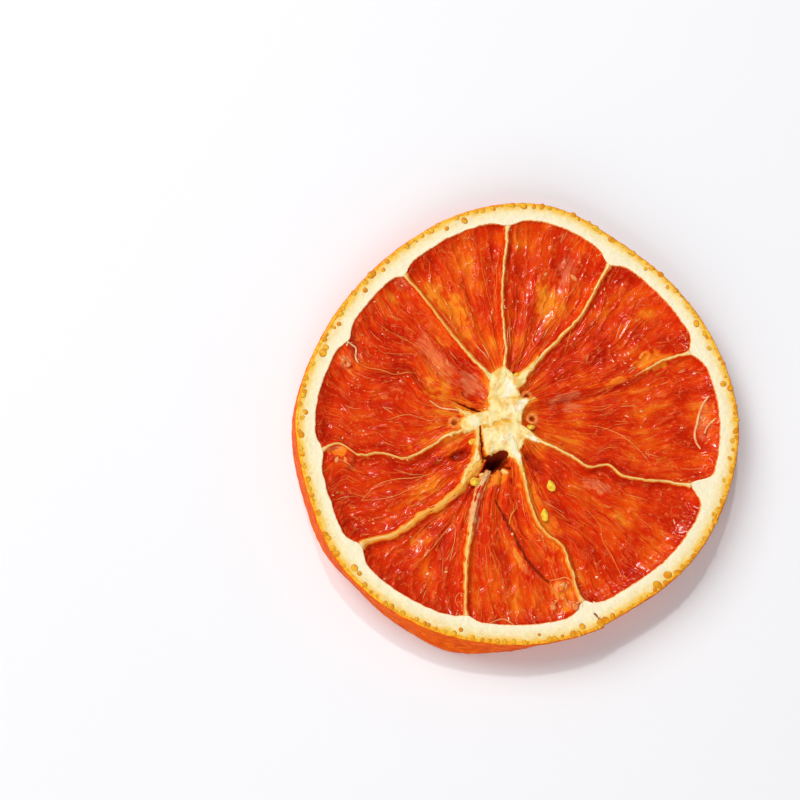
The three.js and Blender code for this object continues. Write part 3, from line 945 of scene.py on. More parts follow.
# Pale patches on the core: paler pith, and in part painted highlights
PALE_PATCHES_AND_HIGHLIGHTS = ovals(
    (-1.3, 4.7, 0.9, 1.2, 0), (-0.6, 1.7, 1.1, 0.8, 60), (0.4, 2.7, 1, 0.4, 25, 0.8),
    (-2.2, -2.4, 1.5, 1, 10, 0.7), (-0.6, -4.6, 1.4, 0.5, -65, 0.9), (-3.8, -3.8, 0.4, 0.7, 0, 0.6),
    (-6, 0, 0.9, 0.7, 0, 0.5), (2.6, -2.7, 2.4, 0.45, -24),
)
CORE_BOX = ((-12, -11), (6, 11))
CORE_SPACING = 0.11
CORE_WALL = 1.5  # how far the core's edge drops to the pulp


def core_gap(xy):
    """Distance outwards from the frayed edge of the star of the core."""
    gaps = []
    for arm in CORE_ARMS:
        start, end = np.array((arm.x0, arm.y0)), np.array((arm.x1, arm.y1))
        along = end - start
        t = np.clip((xy - start) @ along / (along @ along), 0, 1)
        gaps.append(np.linalg.norm(xy - start - t[..., None] * along, axis=-1) - lerp(arm.r0, arm.r1, t))
    joined = -ARM_SOFTNESS * np.log(sum(np.exp(-np.clip(gap, -9, 40) / ARM_SOFTNESS) for gap in gaps))
    joined = np.maximum(joined, NOTCH_RADIUS - np.linalg.norm(xy - CORE_NOTCH, axis=-1))
    return joined + relief(xy, 0.16, 0.9, seed=71)


def core_form():
    """The spongy star in the middle, with its fissures."""
    (x0, y0), (x1, y1) = CORE_BOX
    x, y = np.meshgrid(np.arange(x0, x1, CORE_SPACING), np.arange(y0, y1, CORE_SPACING), indexing="ij")
    xy, keep = cut_hole(np.dstack((x, y)))
    gap = core_gap(xy)
    keep = keep & (gap[:-1, :-1] < 0.5)
    hole, _ = hole_gap(xy)
    fall = smooth(gap, -0.3, 0.5)
    sponge = relief(xy, 0.1, 1.5, seed=73) + relief(xy, 0.03, 0.45, seed=75)
    top = RIM_THICKNESS - CORE_DIP + sponge * (1 - fall) - CORE_WALL * fall**1.5
    top = top - 0.15 * marked(xy, OCHRES) - 0.3 * close_to(hole, 0.2)
    top, torn_and_shade = tear_depth(xy, top)
    bottom = UNDERSIDE_WALL_RISE + 1.2 * fall + relief(xy, 0.05, 1.2, seed=77)
    # Dark paints the fissures and the hole's edge dark red-brown: painted shade in them
    dark = np.maximum(torn_and_shade, 1 - smooth(hole, 0, 0.1))
    return slab(
        xy, top, np.minimum(bottom, top - CORE_THINNEST), keep, below=narrowed(xy), Dark=dark,
        Ochre=marked(xy, OCHRES, 0.9), Bright=marked(xy, PALE_PATCHES_AND_HIGHLIGHTS, 0.8), Inner=-gap, Fibre=xy,
    )


# ---- node trees


def put_in(tree, kind, inputs=(), **settings):
    """Adds a node, and sets or links its inputs."""
    node = tree.nodes.new(kind)
    for name, value in settings.items():
        setattr(node, name, value)
    for name, value in dict(inputs).items():
        if isinstance(value, bpy.types.NodeSocket):
            tree.links.new(value, node.inputs[name])
        else:
            node.inputs[name].default_value = value
    return node


def maths(tree, operation, first, second):
    """A sum, product or the like of two values."""
    return put_in(tree, "ShaderNodeMath", {0: first, 1: second}, operation=operation).outputs[0]


def times(tree, first, second):
    """The product of two values."""
    return maths(tree, "MULTIPLY", first, second)


def vectors(tree, operation, inputs):
    """The node for a sum, product or the like of vectors."""
    return put_in(tree, "ShaderNodeVectorMath", inputs, operation=operation)


def new_group(name, kind, inputs, outputs):
    """A node group with named sockets: each is (name, socket type, default)."""
    tree = bpy.data.node_groups.new(name, kind)
    for in_out, sockets in (("INPUT", inputs), ("OUTPUT", outputs)):
        for label, socket, default in sockets:
            made = tree.interface.new_socket(name=label, in_out=in_out, socket_type=socket)
            if default is not None:
                made.default_value = default
    return tree, tree.nodes.new("NodeGroupInput").outputs, tree.nodes.new("NodeGroupOutput").inputs


def run_geometry(name, data, tree, **inputs):
    """The plain mesh that a geometry tree makes from a mesh."""
    carrier = new_object(name + "_path", data)
    modifier = carrier.modifiers.new("make", "NODES")
    modifier.node_group = tree
    for item in tree.interface.items_tree:
        if item.item_type == "SOCKET" and item.in_out == "INPUT" and item.name in inputs:
            modifier[item.identifier] = inputs[item.name]
    shown = carrier.evaluated_get(bpy.context.evaluated_depsgraph_get())
    made = bpy.data.meshes.new_from_object(shown, depsgraph=bpy.context.evaluated_depsgraph_get())
    made.name = name
    carrier.modifiers.remove(modifier)
    bpy.data.objects.remove(carrier)
    return made


def finish_geometry(tree, shapes, material, result):
    """Ends a geometry tree: one plain smooth mesh in its material."""
    plain = put_in(tree, "GeometryNodeRealizeInstances", {0: shapes})
    soft = put_in(tree, "GeometryNodeSetShadeSmooth", {0: plain.outputs[0]})
    finish = put_in(tree, "GeometryNodeSetMaterial", {"Geometry": soft.outputs[0], "Material": material})
    tree.links.new(finish.outputs[0], result)


def thread_tree():
    """Geometry tree: tubes along the edges of a mesh, as thick as their points say."""
    tree, given, result = new_group(
        "Standing threads", "GeometryNodeTree",
        (("Paths", "NodeSocketGeometry", None), ("Thickness", "NodeSocketFloat", 1.0),
         ("Sides", "NodeSocketInt", 5), ("Material", "NodeSocketMaterial", None)),
        (("Threads", "NodeSocketGeometry", None),),
    )
    half = put_in(tree, "GeometryNodeInputNamedAttribute", {"Name": "half_width"}, data_type="FLOAT")
    radius = times(tree, half.outputs["Attribute"], given["Thickness"])
    lines = put_in(tree, "GeometryNodeMeshToCurve", {"Mesh": given["Paths"]})
    ring = put_in(tree, "GeometryNodeCurvePrimitiveCircle", {"Resolution": given["Sides"], "Radius": 1.0})
    tubes = put_in(tree, "GeometryNodeCurveToMesh",
                   {"Curve": lines.outputs[0], "Profile Curve": ring.outputs["Curve"],
                    "Scale": radius, "Fill Caps": True})
    finish_geometry(tree, tubes.outputs[0], given["Material"], result[0])
    return tree


def dome_tree():
    """Geometry tree: low domes on the points of a mesh, each as big as its point says."""
    if "Domes on points" in bpy.data.node_groups:
        return bpy.data.node_groups["Domes on points"]
    tree, given, result = new_group(
        "Domes on points", "GeometryNodeTree",
        (("Points", "NodeSocketGeometry", None), ("Size", "NodeSocketFloat", 1.0),
         ("Flatness", "NodeSocketFloat", 0.4), ("Longest", "NodeSocketFloat", 1.25),
         ("Seed", "NodeSocketInt", 1), ("Segments", "NodeSocketInt", 10), ("Rings", "NodeSocketInt", 6),
         ("Unevenness", "NodeSocketFloat", 0.0), ("Material", "NodeSocketMaterial", None)),
        (("Domes", "NodeSocketGeometry", None),),
    )
    ball = put_in(tree, "GeometryNodeMeshUVSphere",
                  {"Segments": given["Segments"], "Rings": given["Rings"], "Radius": 1.0})
    place = put_in(tree, "GeometryNodeInputPosition")
    parts = put_in(tree, "ShaderNodeSeparateXYZ", {0: place.outputs[0]})
    flat = put_in(tree, "ShaderNodeCombineXYZ", {"X": parts.outputs["X"], "Y": parts.outputs["Y"]})
    off = vectors(tree, "LENGTH", {0: flat.outputs[0]}).outputs["Value"]
    marked_ball = put_in(tree, "GeometryNodeStoreNamedAttribute",
                         {"Geometry": ball.outputs["Mesh"], "Name": "Off centre", "Value": off},
                         data_type="FLOAT", domain="POINT")
    half = put_in(tree, "GeometryNodeInputNamedAttribute", {"Name": "half_width"}, data_type="FLOAT")
    size = times(tree, half.outputs["Attribute"], given["Size"])
    longest = put_in(tree, "ShaderNodeCombineXYZ", {"X": given["Longest"], "Y": 1.1, "Z": 1.0})
    stretch = put_in(tree, "FunctionNodeRandomValue",
                     {"Min": (0.8, 0.8, 1.0), "Max": longest.outputs[0], "Seed": given["Seed"]},
                     data_type="FLOAT_VECTOR")
    height = put_in(tree, "ShaderNodeCombineXYZ", {"X": 1.0, "Y": 1.0, "Z": given["Flatness"]})
    shape = vectors(tree, "MULTIPLY", {0: stretch.outputs["Value"], 1: height.outputs[0]})
    scale = vectors(tree, "SCALE", {0: shape.outputs[0], "Scale": size})
    turn = put_in(tree, "FunctionNodeRandomValue",
                  {"Min": (-0.06, -0.06, 0.0), "Max": (0.06, 0.06, 6.28), "Seed": given["Seed"]},
                  data_type="FLOAT_VECTOR")
    domes = put_in(tree, "GeometryNodeInstanceOnPoints",
                   {"Points": given["Points"], "Instance": marked_ball.outputs[0],
                    "Rotation": turn.outputs["Value"], "Scale": scale.outputs[0]})
    plain = put_in(tree, "GeometryNodeRealizeInstances", {0: domes.outputs[0]})
    bumps = put_in(tree, "ShaderNodeTexNoise", {"Scale": 0.8 / MM, "Detail": 1.0}).outputs["Color"]
    push = vectors(tree, "SUBTRACT", {0: bumps, 1: (0.5, 0.5, 0.5)})
    push = vectors(tree, "MULTIPLY", {0: push.outputs[0], 1: (2.0, 2.0, 0.3)})
    push = vectors(tree, "SCALE", {0: push.outputs[0], "Scale": given["Unevenness"]})
    uneven = put_in(tree, "GeometryNodeSetPosition",
                    {"Geometry": plain.outputs[0], "Offset": push.outputs[0]})
    finish_geometry(tree, uneven.outputs[0], given["Material"], result[0])
    return tree


# ---- threads, drops, glands and buds


USUAL_RAY = 29  # from the core to the outline


def cell_path(cell, across, from_core, lift):
    """Points on the pulp of one cell, lifted off it."""
    length = Spot(cell, across, np.full(across.shape, 0.7)).length
    spot = Spot(cell, across, from_core / length)
    top, _ = pulp_top(spot)
    return np.column_stack((spot.xy, top + lift)), spot


def sideways(cell, from_core):
    """Share of a cell's width that 1 mm takes, at a distance from the core."""
    spot = Spot(cell, np.full(from_core.shape, 0.5), from_core / USUAL_RAY)
    return 1 / np.maximum(spot.width, 0.5)


SINGLE_THREADS = 0.8  # share of the threads that don't fork
THREAD_HALVES = 0.025, 0.055
THREAD_SLANT = 14  # usual angle off the fibres, in degrees
THREAD_STEP = 0.22


def cell_threads(cell, count, dice):
    """Fine skins left standing on the pulp of a cell, alone and in forks."""
    wall = WALLS[cell]
    middle = Spot(cell, np.array(0.5), np.array(0.8))
    last = float(middle.length) - RIM_WIDTH - 0.6
    paths = []
    for _ in range(count):
        kind = dice.random()
        start = lerp(wall.tip + 1, last - 1, dice.random() ** 0.75)
        reach = min(dice.lognormal(0.5, 0.5), last - start)
        across = dice.uniform(0.05, 0.95)
        slant = math.tan(math.radians(dice.normal(0, THREAD_SLANT)))
        steps = max(6, int(reach / THREAD_STEP))
        t = np.linspace(0, 1, steps)
        out = start + reach * t
        wave = wobble(out, 0.1, 1.3, 81, row=dice.uniform(0, 99))
        parting = dice.uniform(0.08, 0.2) * reach * (1 - t if dice.random() < 0.6 else t) ** 0.6
        strands = (0,) if kind < SINGLE_THREADS else (-1, 1)
        sides = [strand * parting + wave + slant * reach * t for strand in strands]
        tone = 0.75 * dice.random() ** 1.5
        thick = dice.uniform(*THREAD_HALVES)
        for side in sides:
            place = np.clip(across + side * sideways(cell, out), 0.02, 0.98)
            dip = wobble(out, 0.06, 0.9, 85, row=across * 50)
            points, spot = cell_path(cell, place, out, 0.01 + dip)
            clear = (hole_gap(spot.xy)[0].min() > 0.4) and (marked(spot.xy, POCKETS, 0).max() < 0.3)
            taper = np.sin(np.pi * np.linspace(0.03, 0.97, steps)) ** 0.5
            if clear:
                paths.append((points, thick * taper, tone))
    return paths


SPURS = (  # small membranes and long skins: half width, tone, points
    (0.12, 1, ((-24.2, 10.7), (-22.6, 10), (-21.9, 9.5), (-22, 8.1), (-21.7, 7.4))),
    (0.07, 0.4, ((-21.7, 7.4), (-20.5, 6.8), (-18.7, 6.5), (-16.9, 6.1), (-15.1, 6.3), (-13.8, 6.4))),
    (0.1, 0.8, ((-12.1, 2.5), (-10.7, 1.7), (-9.8, 1.5), (-8, 1.3))),
    (0.07, 0.5, ((-17.7, -0.3), (-15.2, 0.6), (-13, 0.1), (-12.1, -0.2), (-11.2, 0.3), (-11.2, 0.8))),
    (0.06, 0.4, ((-16.4, 11.7), (-14.1, 10.6), (-12.3, 9.3), (-11, 8.1), (-10.1, 7.2))),
    (0.07, 0.5, ((-21.3, -11.3), (-19.3, -9.2), (-16.9, -8.3), (-14.2, -8), (-11.5, -7.2))),
    (0.06, 0.4, ((-21.3, -11.3), (-17.6, -10.8), (-15.3, -9.8), (-13.1, -8.2))),
    (0.07, 0.4, ((-13.3, -18.9), (-11.9, -17.3), (-9.2, -14.2), (-9.1, -16.6), (-10.2, -19.1))),
    (0.06, 0.5, ((-7.7, -24.9), (-8, -23.8), (-8.6, -23.4), (-9.1, -24.2), (-8.8, -25.2))),
    (0.12, 0.2, ((-0.6, -11.7), (-1.4, -12.8), (-1.7, -14))),
    (0.06, 0.4, ((2.6, -14.6), (2.7, -15.9), (3.1, -17.5))),
    (0.12, 0.5, ((3.5, -21.5), (4.6, -21.3), (5.6, -21.1), (6.3, -21.7), (6.4, -22.5))),
    (0.1, 0.4, ((3.5, -21.7), (3.9, -22.7), (4.5, -23.8), (3.9, -24.7), (3.3, -25.4))),
    (0.09, 0.6, ((-4.9, -27.5), (-3.9, -27), (-2.8, -26.8), (-1.5, -27.6))),
    (0.12, 0.6, ((5.8, -24.2), (6.6, -24.6), (7.5, -24.5), (7.3, -25.5), (6.4, -26))),
    (0.05, 0.3, ((8.8, -11.9), (10.5, -13.9), (10.8, -15.9), (11.9, -17.9), (13.3, -21))),
    (0.06, 0.5, ((9.5, -0.1), (11.6, -0.3), (13.6, -1.1), (15.1, -2.2), (16.5, -3.4), (17.8, -5))),
    (0.18, 0.75, ((26.5, 4.5), (25.6, 3.3), (25.1, 2), (24.7, 0.6), (24.3, -0.8), (24.4, -2), (25, -2.9))),
    (0.16, 0.75, ((27.3, 1.4), (26.1, 0.2), (25.6, -0.8))),
    (0.07, 0.7, ((12.9, 26.9), (13.6, 26.1), (12.9, 25.1), (12, 24.5))),
)


def pulp_height(xy):
    """Height of the pulp at places on the plan."""
    bearing, share = ray_place(xy)
    cell, across = rim_cell(bearing, share)
    height = np.zeros(len(xy))
    for index in CELLS:
        height = np.where(cell == index, pulp_top(Spot(index, across, share))[0], height)
    return height


def spur_paths():
    """The spurs as smooth lines on the pulp."""
    paths = []
    for half, tone, corners in SPURS:
        t = np.linspace(0, 1, 8 * len(corners))
        xy = np.stack([curve_through([corner[k] for corner in corners], t) for k in (0, 1)], -1)
        height = pulp_height(xy) + 0.02 + 0.07 * noise(t * 6, t * 0, 83)
        taper = 0.5 + 0.5 * np.sin(np.pi * t) ** 0.4
        paths.append((np.column_stack((xy, height)), half * taper, tone))
    return paths


def paths_mesh(name, paths):
    """A mesh of bare edges along the paths, with each point's half width and tone."""
    points = np.concatenate([path[0] for path in paths])
    counts = [len(path[0]) for path in paths]
    ends = np.cumsum(counts)
    links = np.arange(len(points) - 1)
    links = links[~np.isin(links, ends - 1)]
    data = bpy.data.meshes.new(name)
    data.from_pydata(in_frame(points).tolist(), np.stack((links, links + 1), -1).tolist(), [])
    half = data.attributes.new("half_width", "FLOAT", "POINT")
    half.data.foreach_set("value", np.concatenate([path[1] for path in paths]).astype(np.float32) * MM)
    tone = data.attributes.new("Tone", "FLOAT", "POINT")
    tone.data.foreach_set("value", np.repeat([path[2] for path in paths], counts).astype(np.float32))
    return data


LARGE_GLANDS = ((13.87, 26.66), (17.65, -21.98), (8.48, 30.14), (11.6, 28.45))
LARGE_GLAND_HALF = 0.5
GLAND_HALVES = 0.26, 0.48  # half widths of the others
GLAND_INSETS = 0.36, 0.62  # from the outline, for the share of them close under the peel
GLANDS_BY_PEEL = 0.75
GLAND_DEEPEST = 1.3


def gland_points(count, dice):
    """Oil glands round the rim, close under the peel and here and there further in."""
    bearing = (np.arange(count) + dice.uniform(-0.45, 0.45, count)) / count * 360
    by_peel = dice.random(count) < GLANDS_BY_PEEL
    inset = np.where(by_peel, dice.uniform(*GLAND_INSETS, count), dice.gamma(3, 0.2, count) + 0.4)
    inset = np.minimum(inset, GLAND_DEEPEST)
    half = dice.uniform(*GLAND_HALVES, count) * (1 + wobble(bearing, 0.35, 14, seed=91))
    length = ray_length(bearing)
    xy = on_ray(bearing, 1 - inset / length)
    xy = np.vstack((xy, LARGE_GLANDS))
    half = np.append(half, np.full(len(LARGE_GLANDS), LARGE_GLAND_HALF))
    turn = np.degrees(np.arctan2(xy[:, 1], xy[:, 0]))
    height = RIM_THICKNESS + waves(RIM_WAVES, turn) - 0.01
    return [(np.column_stack((xy, height)), half, 0.5)]


def bead_points(cell, count, dice):
    """Tiny dried drops on the pulp of a cell, most of them out by the pith."""
    middle = Spot(cell, np.array(0.5), np.array(0.8))
    last = float(middle.length) - RIM_WIDTH - 0.5
    groups = dice.integers(0, 7, count)
    centre_out = lerp(WALLS[cell].tip + 2, last, dice.uniform(0, 1, 7) ** 0.4)[groups]
    centre_across = dice.beta(0.6, 0.6, 7)[groups]
    out = np.clip(centre_out + dice.normal(0, 1.1, count), WALLS[cell].tip + 1, last)
    across = centre_across + dice.normal(0, 0.9, count) * sideways(cell, out)
    points, spot = cell_path(cell, np.clip(across, 0.03, 0.97), out, 0.0)
    half = dice.lognormal(-2.75, 0.35, count)
    clear = hole_gap(spot.xy)[0] > 0.4
    return points[clear], half[clear], dice.uniform(0, 1)


VESICLES = (  # place and half width of the dried juice sacs that stand up
    (5, -22.3, 0.55), (5.7, -21.8, 0.34), (3.7, -25.1, 0.48), (4.1, -24.3, 0.34), (6.5, -25.1, 0.6),
    (5.7, -24.7, 0.36), (5.1, -23.9, 0.3), (-23.7, 7.7, 0.36), (-23, 7.1, 0.3), (25.4, 1.6, 0.32),
    (24.9, 0.6, 0.28), (8.4, 21.2, 0.5), (4.4, 21.6, 0.4), (-23.4, -5.9, 0.34), (-24.6, -5.9, 0.4),
)


def vesicle_points():
    """The dried juice sacs, half sunk in the pulp."""
    sacs = np.array(VESICLES)
    return [(np.column_stack((sacs[:, :2], pulp_height(sacs[:, :2]) - 0.05)), sacs[:, 2], 0.5)]


SEED_BUDS = (  # place, half length, half width, bearing of the pointed end
    ((4.1, -8.7), 0.85, 0.55, 110), ((3.08, -12.72), 0.95, 0.48, 95), ((-6.15, -8.4), 0.8, 0.6, 15),
    ((-0.2, 6.5), 0.6, 0.4, 60), ((1.6, -0.7), 0.65, 0.4, 20), ((-6.4, -2.9), 0.6, 0.35, 40),
)


def bud_form(place, half_long, half_wide, bearing, rings=14, around=28):
    """A shrunken seed bud: a drop, round at one end and pointed at the other."""
    t = np.linspace(0.04, 0.97, rings)[:, None]
    turn = np.linspace(0, 2 * np.pi, around, endpoint=False)[None, :]
    folds = 0.16 * np.sin(3 * turn + t * 5) + 0.09 * np.sin(7 * turn - t * 4)
    girth = np.sin(np.pi * t**0.8) ** 0.75 * half_wide * (1 + folds)
    along = (2 * t - 1) * half_long + 0 * turn
    aside, up = girth * np.cos(turn), girth * np.sin(turn) * 0.6
    angle = math.radians(bearing)
    x = place[0] + along * math.cos(angle) - aside * math.sin(angle)
    y = place[1] + along * math.sin(angle) + aside * math.cos(angle)
    return loft(np.dstack((x, y, up + RIM_THICKNESS - 0.6)), Tone=0 * x + t)


# ---- finishes


def colour(red, green, blue):
    """A screen colour from 0 to 255 as a scene linear one."""
    channels = np.array((red, green, blue)) / 255
    linear = np.where(channels <= 0.04045, channels / 12.92, ((channels + 0.055) / 1.055) ** 2.4)
    return (*linear.tolist(), 1.0)


def spread(tree, value, low, high, start=0.0, end=1.0):
    """Maps a range of a value softly onto another."""
    inputs = {"Value": value, "From Min": low, "From Max": high, "To Min": start, "To Max": end}
    return put_in(tree, "ShaderNodeMapRange", inputs, interpolation_type="SMOOTHSTEP").outputs["Result"]


def opaque(value):
    """A colour setting with its alpha; a socket stays as it is."""
    return value if isinstance(value, bpy.types.NodeSocket) else (*value, 1)


def blend(tree, share, base, over):
    """One colour laid over another; each is a colour setting or a socket."""
    inputs = {0: share, 6: opaque(base), 7: opaque(over)}  # the colour sockets of the node
    return put_in(tree, "ShaderNodeMix", inputs, data_type="RGBA").outputs[2]


def read_value(tree, name):
    return put_in(tree, "ShaderNodeAttribute", attribute_name=name).outputs["Fac"]


def read_place(tree):
    return put_in(tree, "ShaderNodeUVMap", uv_map="Fibre").outputs["UV"]


def ramp(tree, value, *stops):
    """A colour ramp through (position, colour) stops."""
    node = put_in(tree, "ShaderNodeValToRGB", {"Fac": value})
    elements = node.color_ramp.elements
    while len(elements) < len(stops):
        elements.new(0.5)
    for element, (position, stop) in zip(elements, stops):
        element.position = position
        element.color = opaque(stop)
    return node.outputs["Color"]


def flat_noise(tree, place, scale, detail):
    """Noise on a flat map."""
    inputs = {"Vector": place, "Scale": scale, "Detail": detail}
    return put_in(tree, "ShaderNodeTexNoise", inputs, noise_dimensions="2D")


def in_cells(tree, x, y, given):
    """A place in units of the group's own width and length."""
    x, y = maths(tree, "DIVIDE", x, given["Width"]), maths(tree, "DIVIDE", y, given["Length"])
    return put_in(tree, "ShaderNodeCombineXYZ", {"X": x, "Y": y}).outputs[0]


def streak_group():
    """Streaks that run along the fibres: a mask from 0 to 1."""
    tree, given, result = new_group(
        "Fibre streaks", "ShaderNodeTree",
        (("Place", "NodeSocketVector", None), ("Width", "NodeSocketFloat", 0.3),
         ("Length", "NodeSocketFloat", 3.0), ("Waver", "NodeSocketFloat", 0.4)),
        (("Streaks", "NodeSocketFloat", None),),
    )
    bend = flat_noise(tree, given["Place"], 0.45, 2.0)
    shift = times(tree, maths(tree, "SUBTRACT", bend.outputs["Fac"], 0.5), given["Waver"])
    parts = put_in(tree, "ShaderNodeSeparateXYZ", {0: given["Place"]})
    shifted = maths(tree, "ADD", parts.outputs["X"], shift)
    lines = flat_noise(tree, in_cells(tree, shifted, parts.outputs["Y"], given), 1.0, 3.0)
    tree.links.new(spread(tree, lines.outputs["Fac"], 0.3, 0.7), result[0])
    return tree


def skin_group():
    """Outlines of long cells, broken up into strokes: a mask from 0 to 1."""
    tree, given, result = new_group(
        "Cell skins", "ShaderNodeTree",
        (("Place", "NodeSocketVector", None), ("Width", "NodeSocketFloat", 0.9),
         ("Length", "NodeSocketFloat", 3.5), ("Line", "NodeSocketFloat", 0.06)),
        (("Skins", "NodeSocketFloat", None),),
    )
    bend = flat_noise(tree, given["Place"], 0.8, 2.0)
    off = vectors(tree, "SUBTRACT", {0: bend.outputs["Color"], 1: (0.5, 0.5, 0.5)})
    bent = vectors(tree, "MULTIPLY_ADD", {0: off.outputs[0], 1: (1.6, 2.4, 0.0), 2: given["Place"]})
    parts = put_in(tree, "ShaderNodeSeparateXYZ", {0: bent.outputs[0]})
    place = in_cells(tree, parts.outputs["X"], parts.outputs["Y"], given)
    cells = put_in(tree, "ShaderNodeTexVoronoi", {"Vector": place, "Scale": 1.0}, voronoi_dimensions="2D",
                   feature="DISTANCE_TO_EDGE")
    line = spread(tree, cells.outputs["Distance"], 0.0, given["Line"], 1.0, 0.0)
    broken = flat_noise(tree, given["Place"], 0.9, 1.0)
    kept = spread(tree, broken.outputs["Fac"], 0.52, 0.66)
    tree.links.new(times(tree, line, kept), result[0])
    return tree


def mottle_group():
    """Soft patches in the material's own space: a mask from 0 to 1."""
    tree, given, result = new_group(
        "Mottling", "ShaderNodeTree",
        (("Size", "NodeSocketFloat", 2.0), ("Low", "NodeSocketFloat", 0.4), ("High", "NodeSocketFloat", 0.6)),
        (("Patches", "NodeSocketFloat", None),),
    )
    place = put_in(tree, "ShaderNodeTexCoord").outputs["Object"]
    scale = maths(tree, "DIVIDE", 1 / MM, given["Size"])
    patches = put_in(tree, "ShaderNodeTexNoise", {"Vector": place, "Scale": scale, "Detail": 4.0})
    tree.links.new(spread(tree, patches.outputs["Fac"], given["Low"], given["High"]), result[0])
    return tree


MASKS = {"Fibre streaks": streak_group, "Cell skins": skin_group, "Mottling": mottle_group}


def effect(tree, name, **inputs):
    """The mask of a shader node group, which is built the first time that it is asked for."""
    group = bpy.data.node_groups.get(name) or MASKS[name]()
    return put_in(tree, "ShaderNodeGroup", inputs, node_tree=group).outputs[0]


def mottling(tree, size, low=0.35, high=0.65):
    """Soft patches, size mm across."""
    return effect(tree, "Mottling", Size=size, Low=low, High=high)


def new_finish(name, roughness, coat=0.0, glow=0.0, specular=0.5):
    """A material with a Principled BSDF, and its tree and shader."""
    material = bpy.data.materials.new(name)
    material.use_nodes = True
    tree = material.node_tree
    shader = tree.nodes["Principled BSDF"]
    values = {
        "Roughness": roughness, "Specular IOR Level": specular, "Coat Weight": coat, "Coat Roughness": 0.1,
        "Subsurface Weight": glow, "Subsurface Radius": (1.0, 0.35, 0.15), "Subsurface Scale": 0.6 * MM,
    }
    for key, value in values.items():
        shader.inputs[key].default_value = value
    return material, tree, shader


def paint(tree, shader, colour_socket):
    """Feeds a colour to the shader."""
    tree.links.new(colour_socket, shader.inputs["Base Color"])


def emboss(tree, shader, height, depth):
    """Feeds a height, depth mm deep, to the shader's normal."""
    bump = put_in(tree, "ShaderNodeBump", {"Height": height, "Distance": depth * MM, "Strength": 1.0})
    tree.links.new(bump.outputs["Normal"], shader.inputs["Normal"])


def swing(tree, mask, size):
    """A mask as a value from -size / 2 to size / 2."""
    return times(tree, maths(tree, "SUBTRACT", mask, 0.5), size)


def total(tree, *values):
    """Sum of several values."""
    result = values[0]
    for value in values[1:]:
        result = maths(tree, "ADD", result, value)
    return result


def pulp_finish(colours):
    """Glossy dried pulp: deep red to amber, with pale skins and streaks along its fibres."""
    material, tree, shader = new_finish("dried pulp", 0.3, coat=0.45, glow=0.1, specular=0.05)
    place = read_place(tree)
    broad = effect(tree, "Fibre streaks", Place=place, Width=0.9, Length=6.0, Waver=1.4)
    fine = effect(tree, "Fibre streaks", Place=place, Width=0.25, Length=2.6, Waver=1.0)
    skins = effect(tree, "Cell skins", Place=place, Width=1.2, Length=5.0, Line=0.045)
    small_skins = effect(tree, "Cell skins", Place=place, Width=0.6, Length=2.2, Line=0.06)
    patches = mottling(tree, 4.0)
    specks = mottling(tree, 0.7, 0.6, 0.72)
    grain = mottling(tree, 0.4)
    apart = vectors(tree, "ADD", {0: place, 1: (57.0, 31.0, 0.0)}).outputs[0]
    strokes = effect(tree, "Cell skins", Place=apart, Width=0.4, Length=1.5, Line=0.1)
    warmth = total(
        tree, read_value(tree, "Warmth"), swing(tree, broad, 0.22), swing(tree, fine, 0.12),
        swing(tree, patches, 0.26),
    )
    base = ramp(tree, warmth, (0.0, colours.pulp_deep), (0.42, colours.pulp_red),
                (0.7, colours.pulp_orange), (1.0, colours.pulp_amber))
    # Milky film and painted soft highlights
    film_and_sheen = times(tree, read_value(tree, "Film"), spread(tree, fine, 0.0, 1.0, 0.2, 0.8))
    base = blend(tree, film_and_sheen, base, colours.film_and_sheen)
    ridge = times(tree, read_value(tree, "Ridge"), spread(tree, fine, 0.5, 0.95, 0.0, 0.6))
    threads = maths(tree, "MAXIMUM", times(tree, small_skins, 0.35), skins)
    threads = maths(tree, "MAXIMUM", times(tree, threads, 0.5), times(tree, ridge, 0.35))
    threads = maths(tree, "MAXIMUM", threads, times(tree, strokes, 0.35))
    base = blend(tree, threads, base, colours.thread)
    base = blend(tree, times(tree, specks, 0.2), base, colours.pulp_amber)
    # Painted shade: tears, pockets, pits and the hole's edge darkened towards dark red-brown
    base = blend(tree, times(tree, read_value(tree, "Dark"), 0.85), base, colours.torn_and_shade)
    paint(tree, shader, base)
    tree.links.new(spread(tree, patches, 0.0, 1.0, 0.2, 0.4), shader.inputs["Roughness"])
    shader.inputs["Coat Roughness"].default_value = 0.16
    raised = times(tree, threads, 0.4)
    height = total(tree, broad, times(tree, fine, 0.12), raised, times(tree, grain, 0.5))
    emboss(tree, shader, height, 0.05)
    return material


def wall_finish(colours):
    """Walls: a cream crest on translucent amber flanks."""
    material, tree, shader = new_finish("cell wall", 0.4, coat=0.15, glow=0.2, specular=0.25)
    place = read_place(tree)
    fine = effect(tree, "Fibre streaks", Place=place, Width=0.15, Length=1.5, Waver=0.5)
    flank = total(tree, read_value(tree, "Flank"), swing(tree, fine, 0.3))
    base = ramp(tree, flank, (0.0, colours.wall_amber), (0.35, colours.pulp_amber),
                (0.65, colours.pulp_orange), (1.0, colours.pulp_red))
    cream = times(tree, read_value(tree, "Cream"), spread(tree, fine, 0.0, 1.0, 0.8, 1.0))
    base = blend(tree, cream, base, colours.wall_cream)
    specks = mottling(tree, 0.6, 0.45, 0.7)
    beige = blend(tree, times(tree, specks, 0.45), colours.wall_beige, colours.torn_and_shade)
    dull = times(tree, read_value(tree, "Dull"), spread(tree, flank, 0.7, 0.2, 0.2, 0.85))
    base = blend(tree, dull, base, beige)
    paint(tree, shader, base)
    emboss(tree, shader, fine, 0.05)
    return material


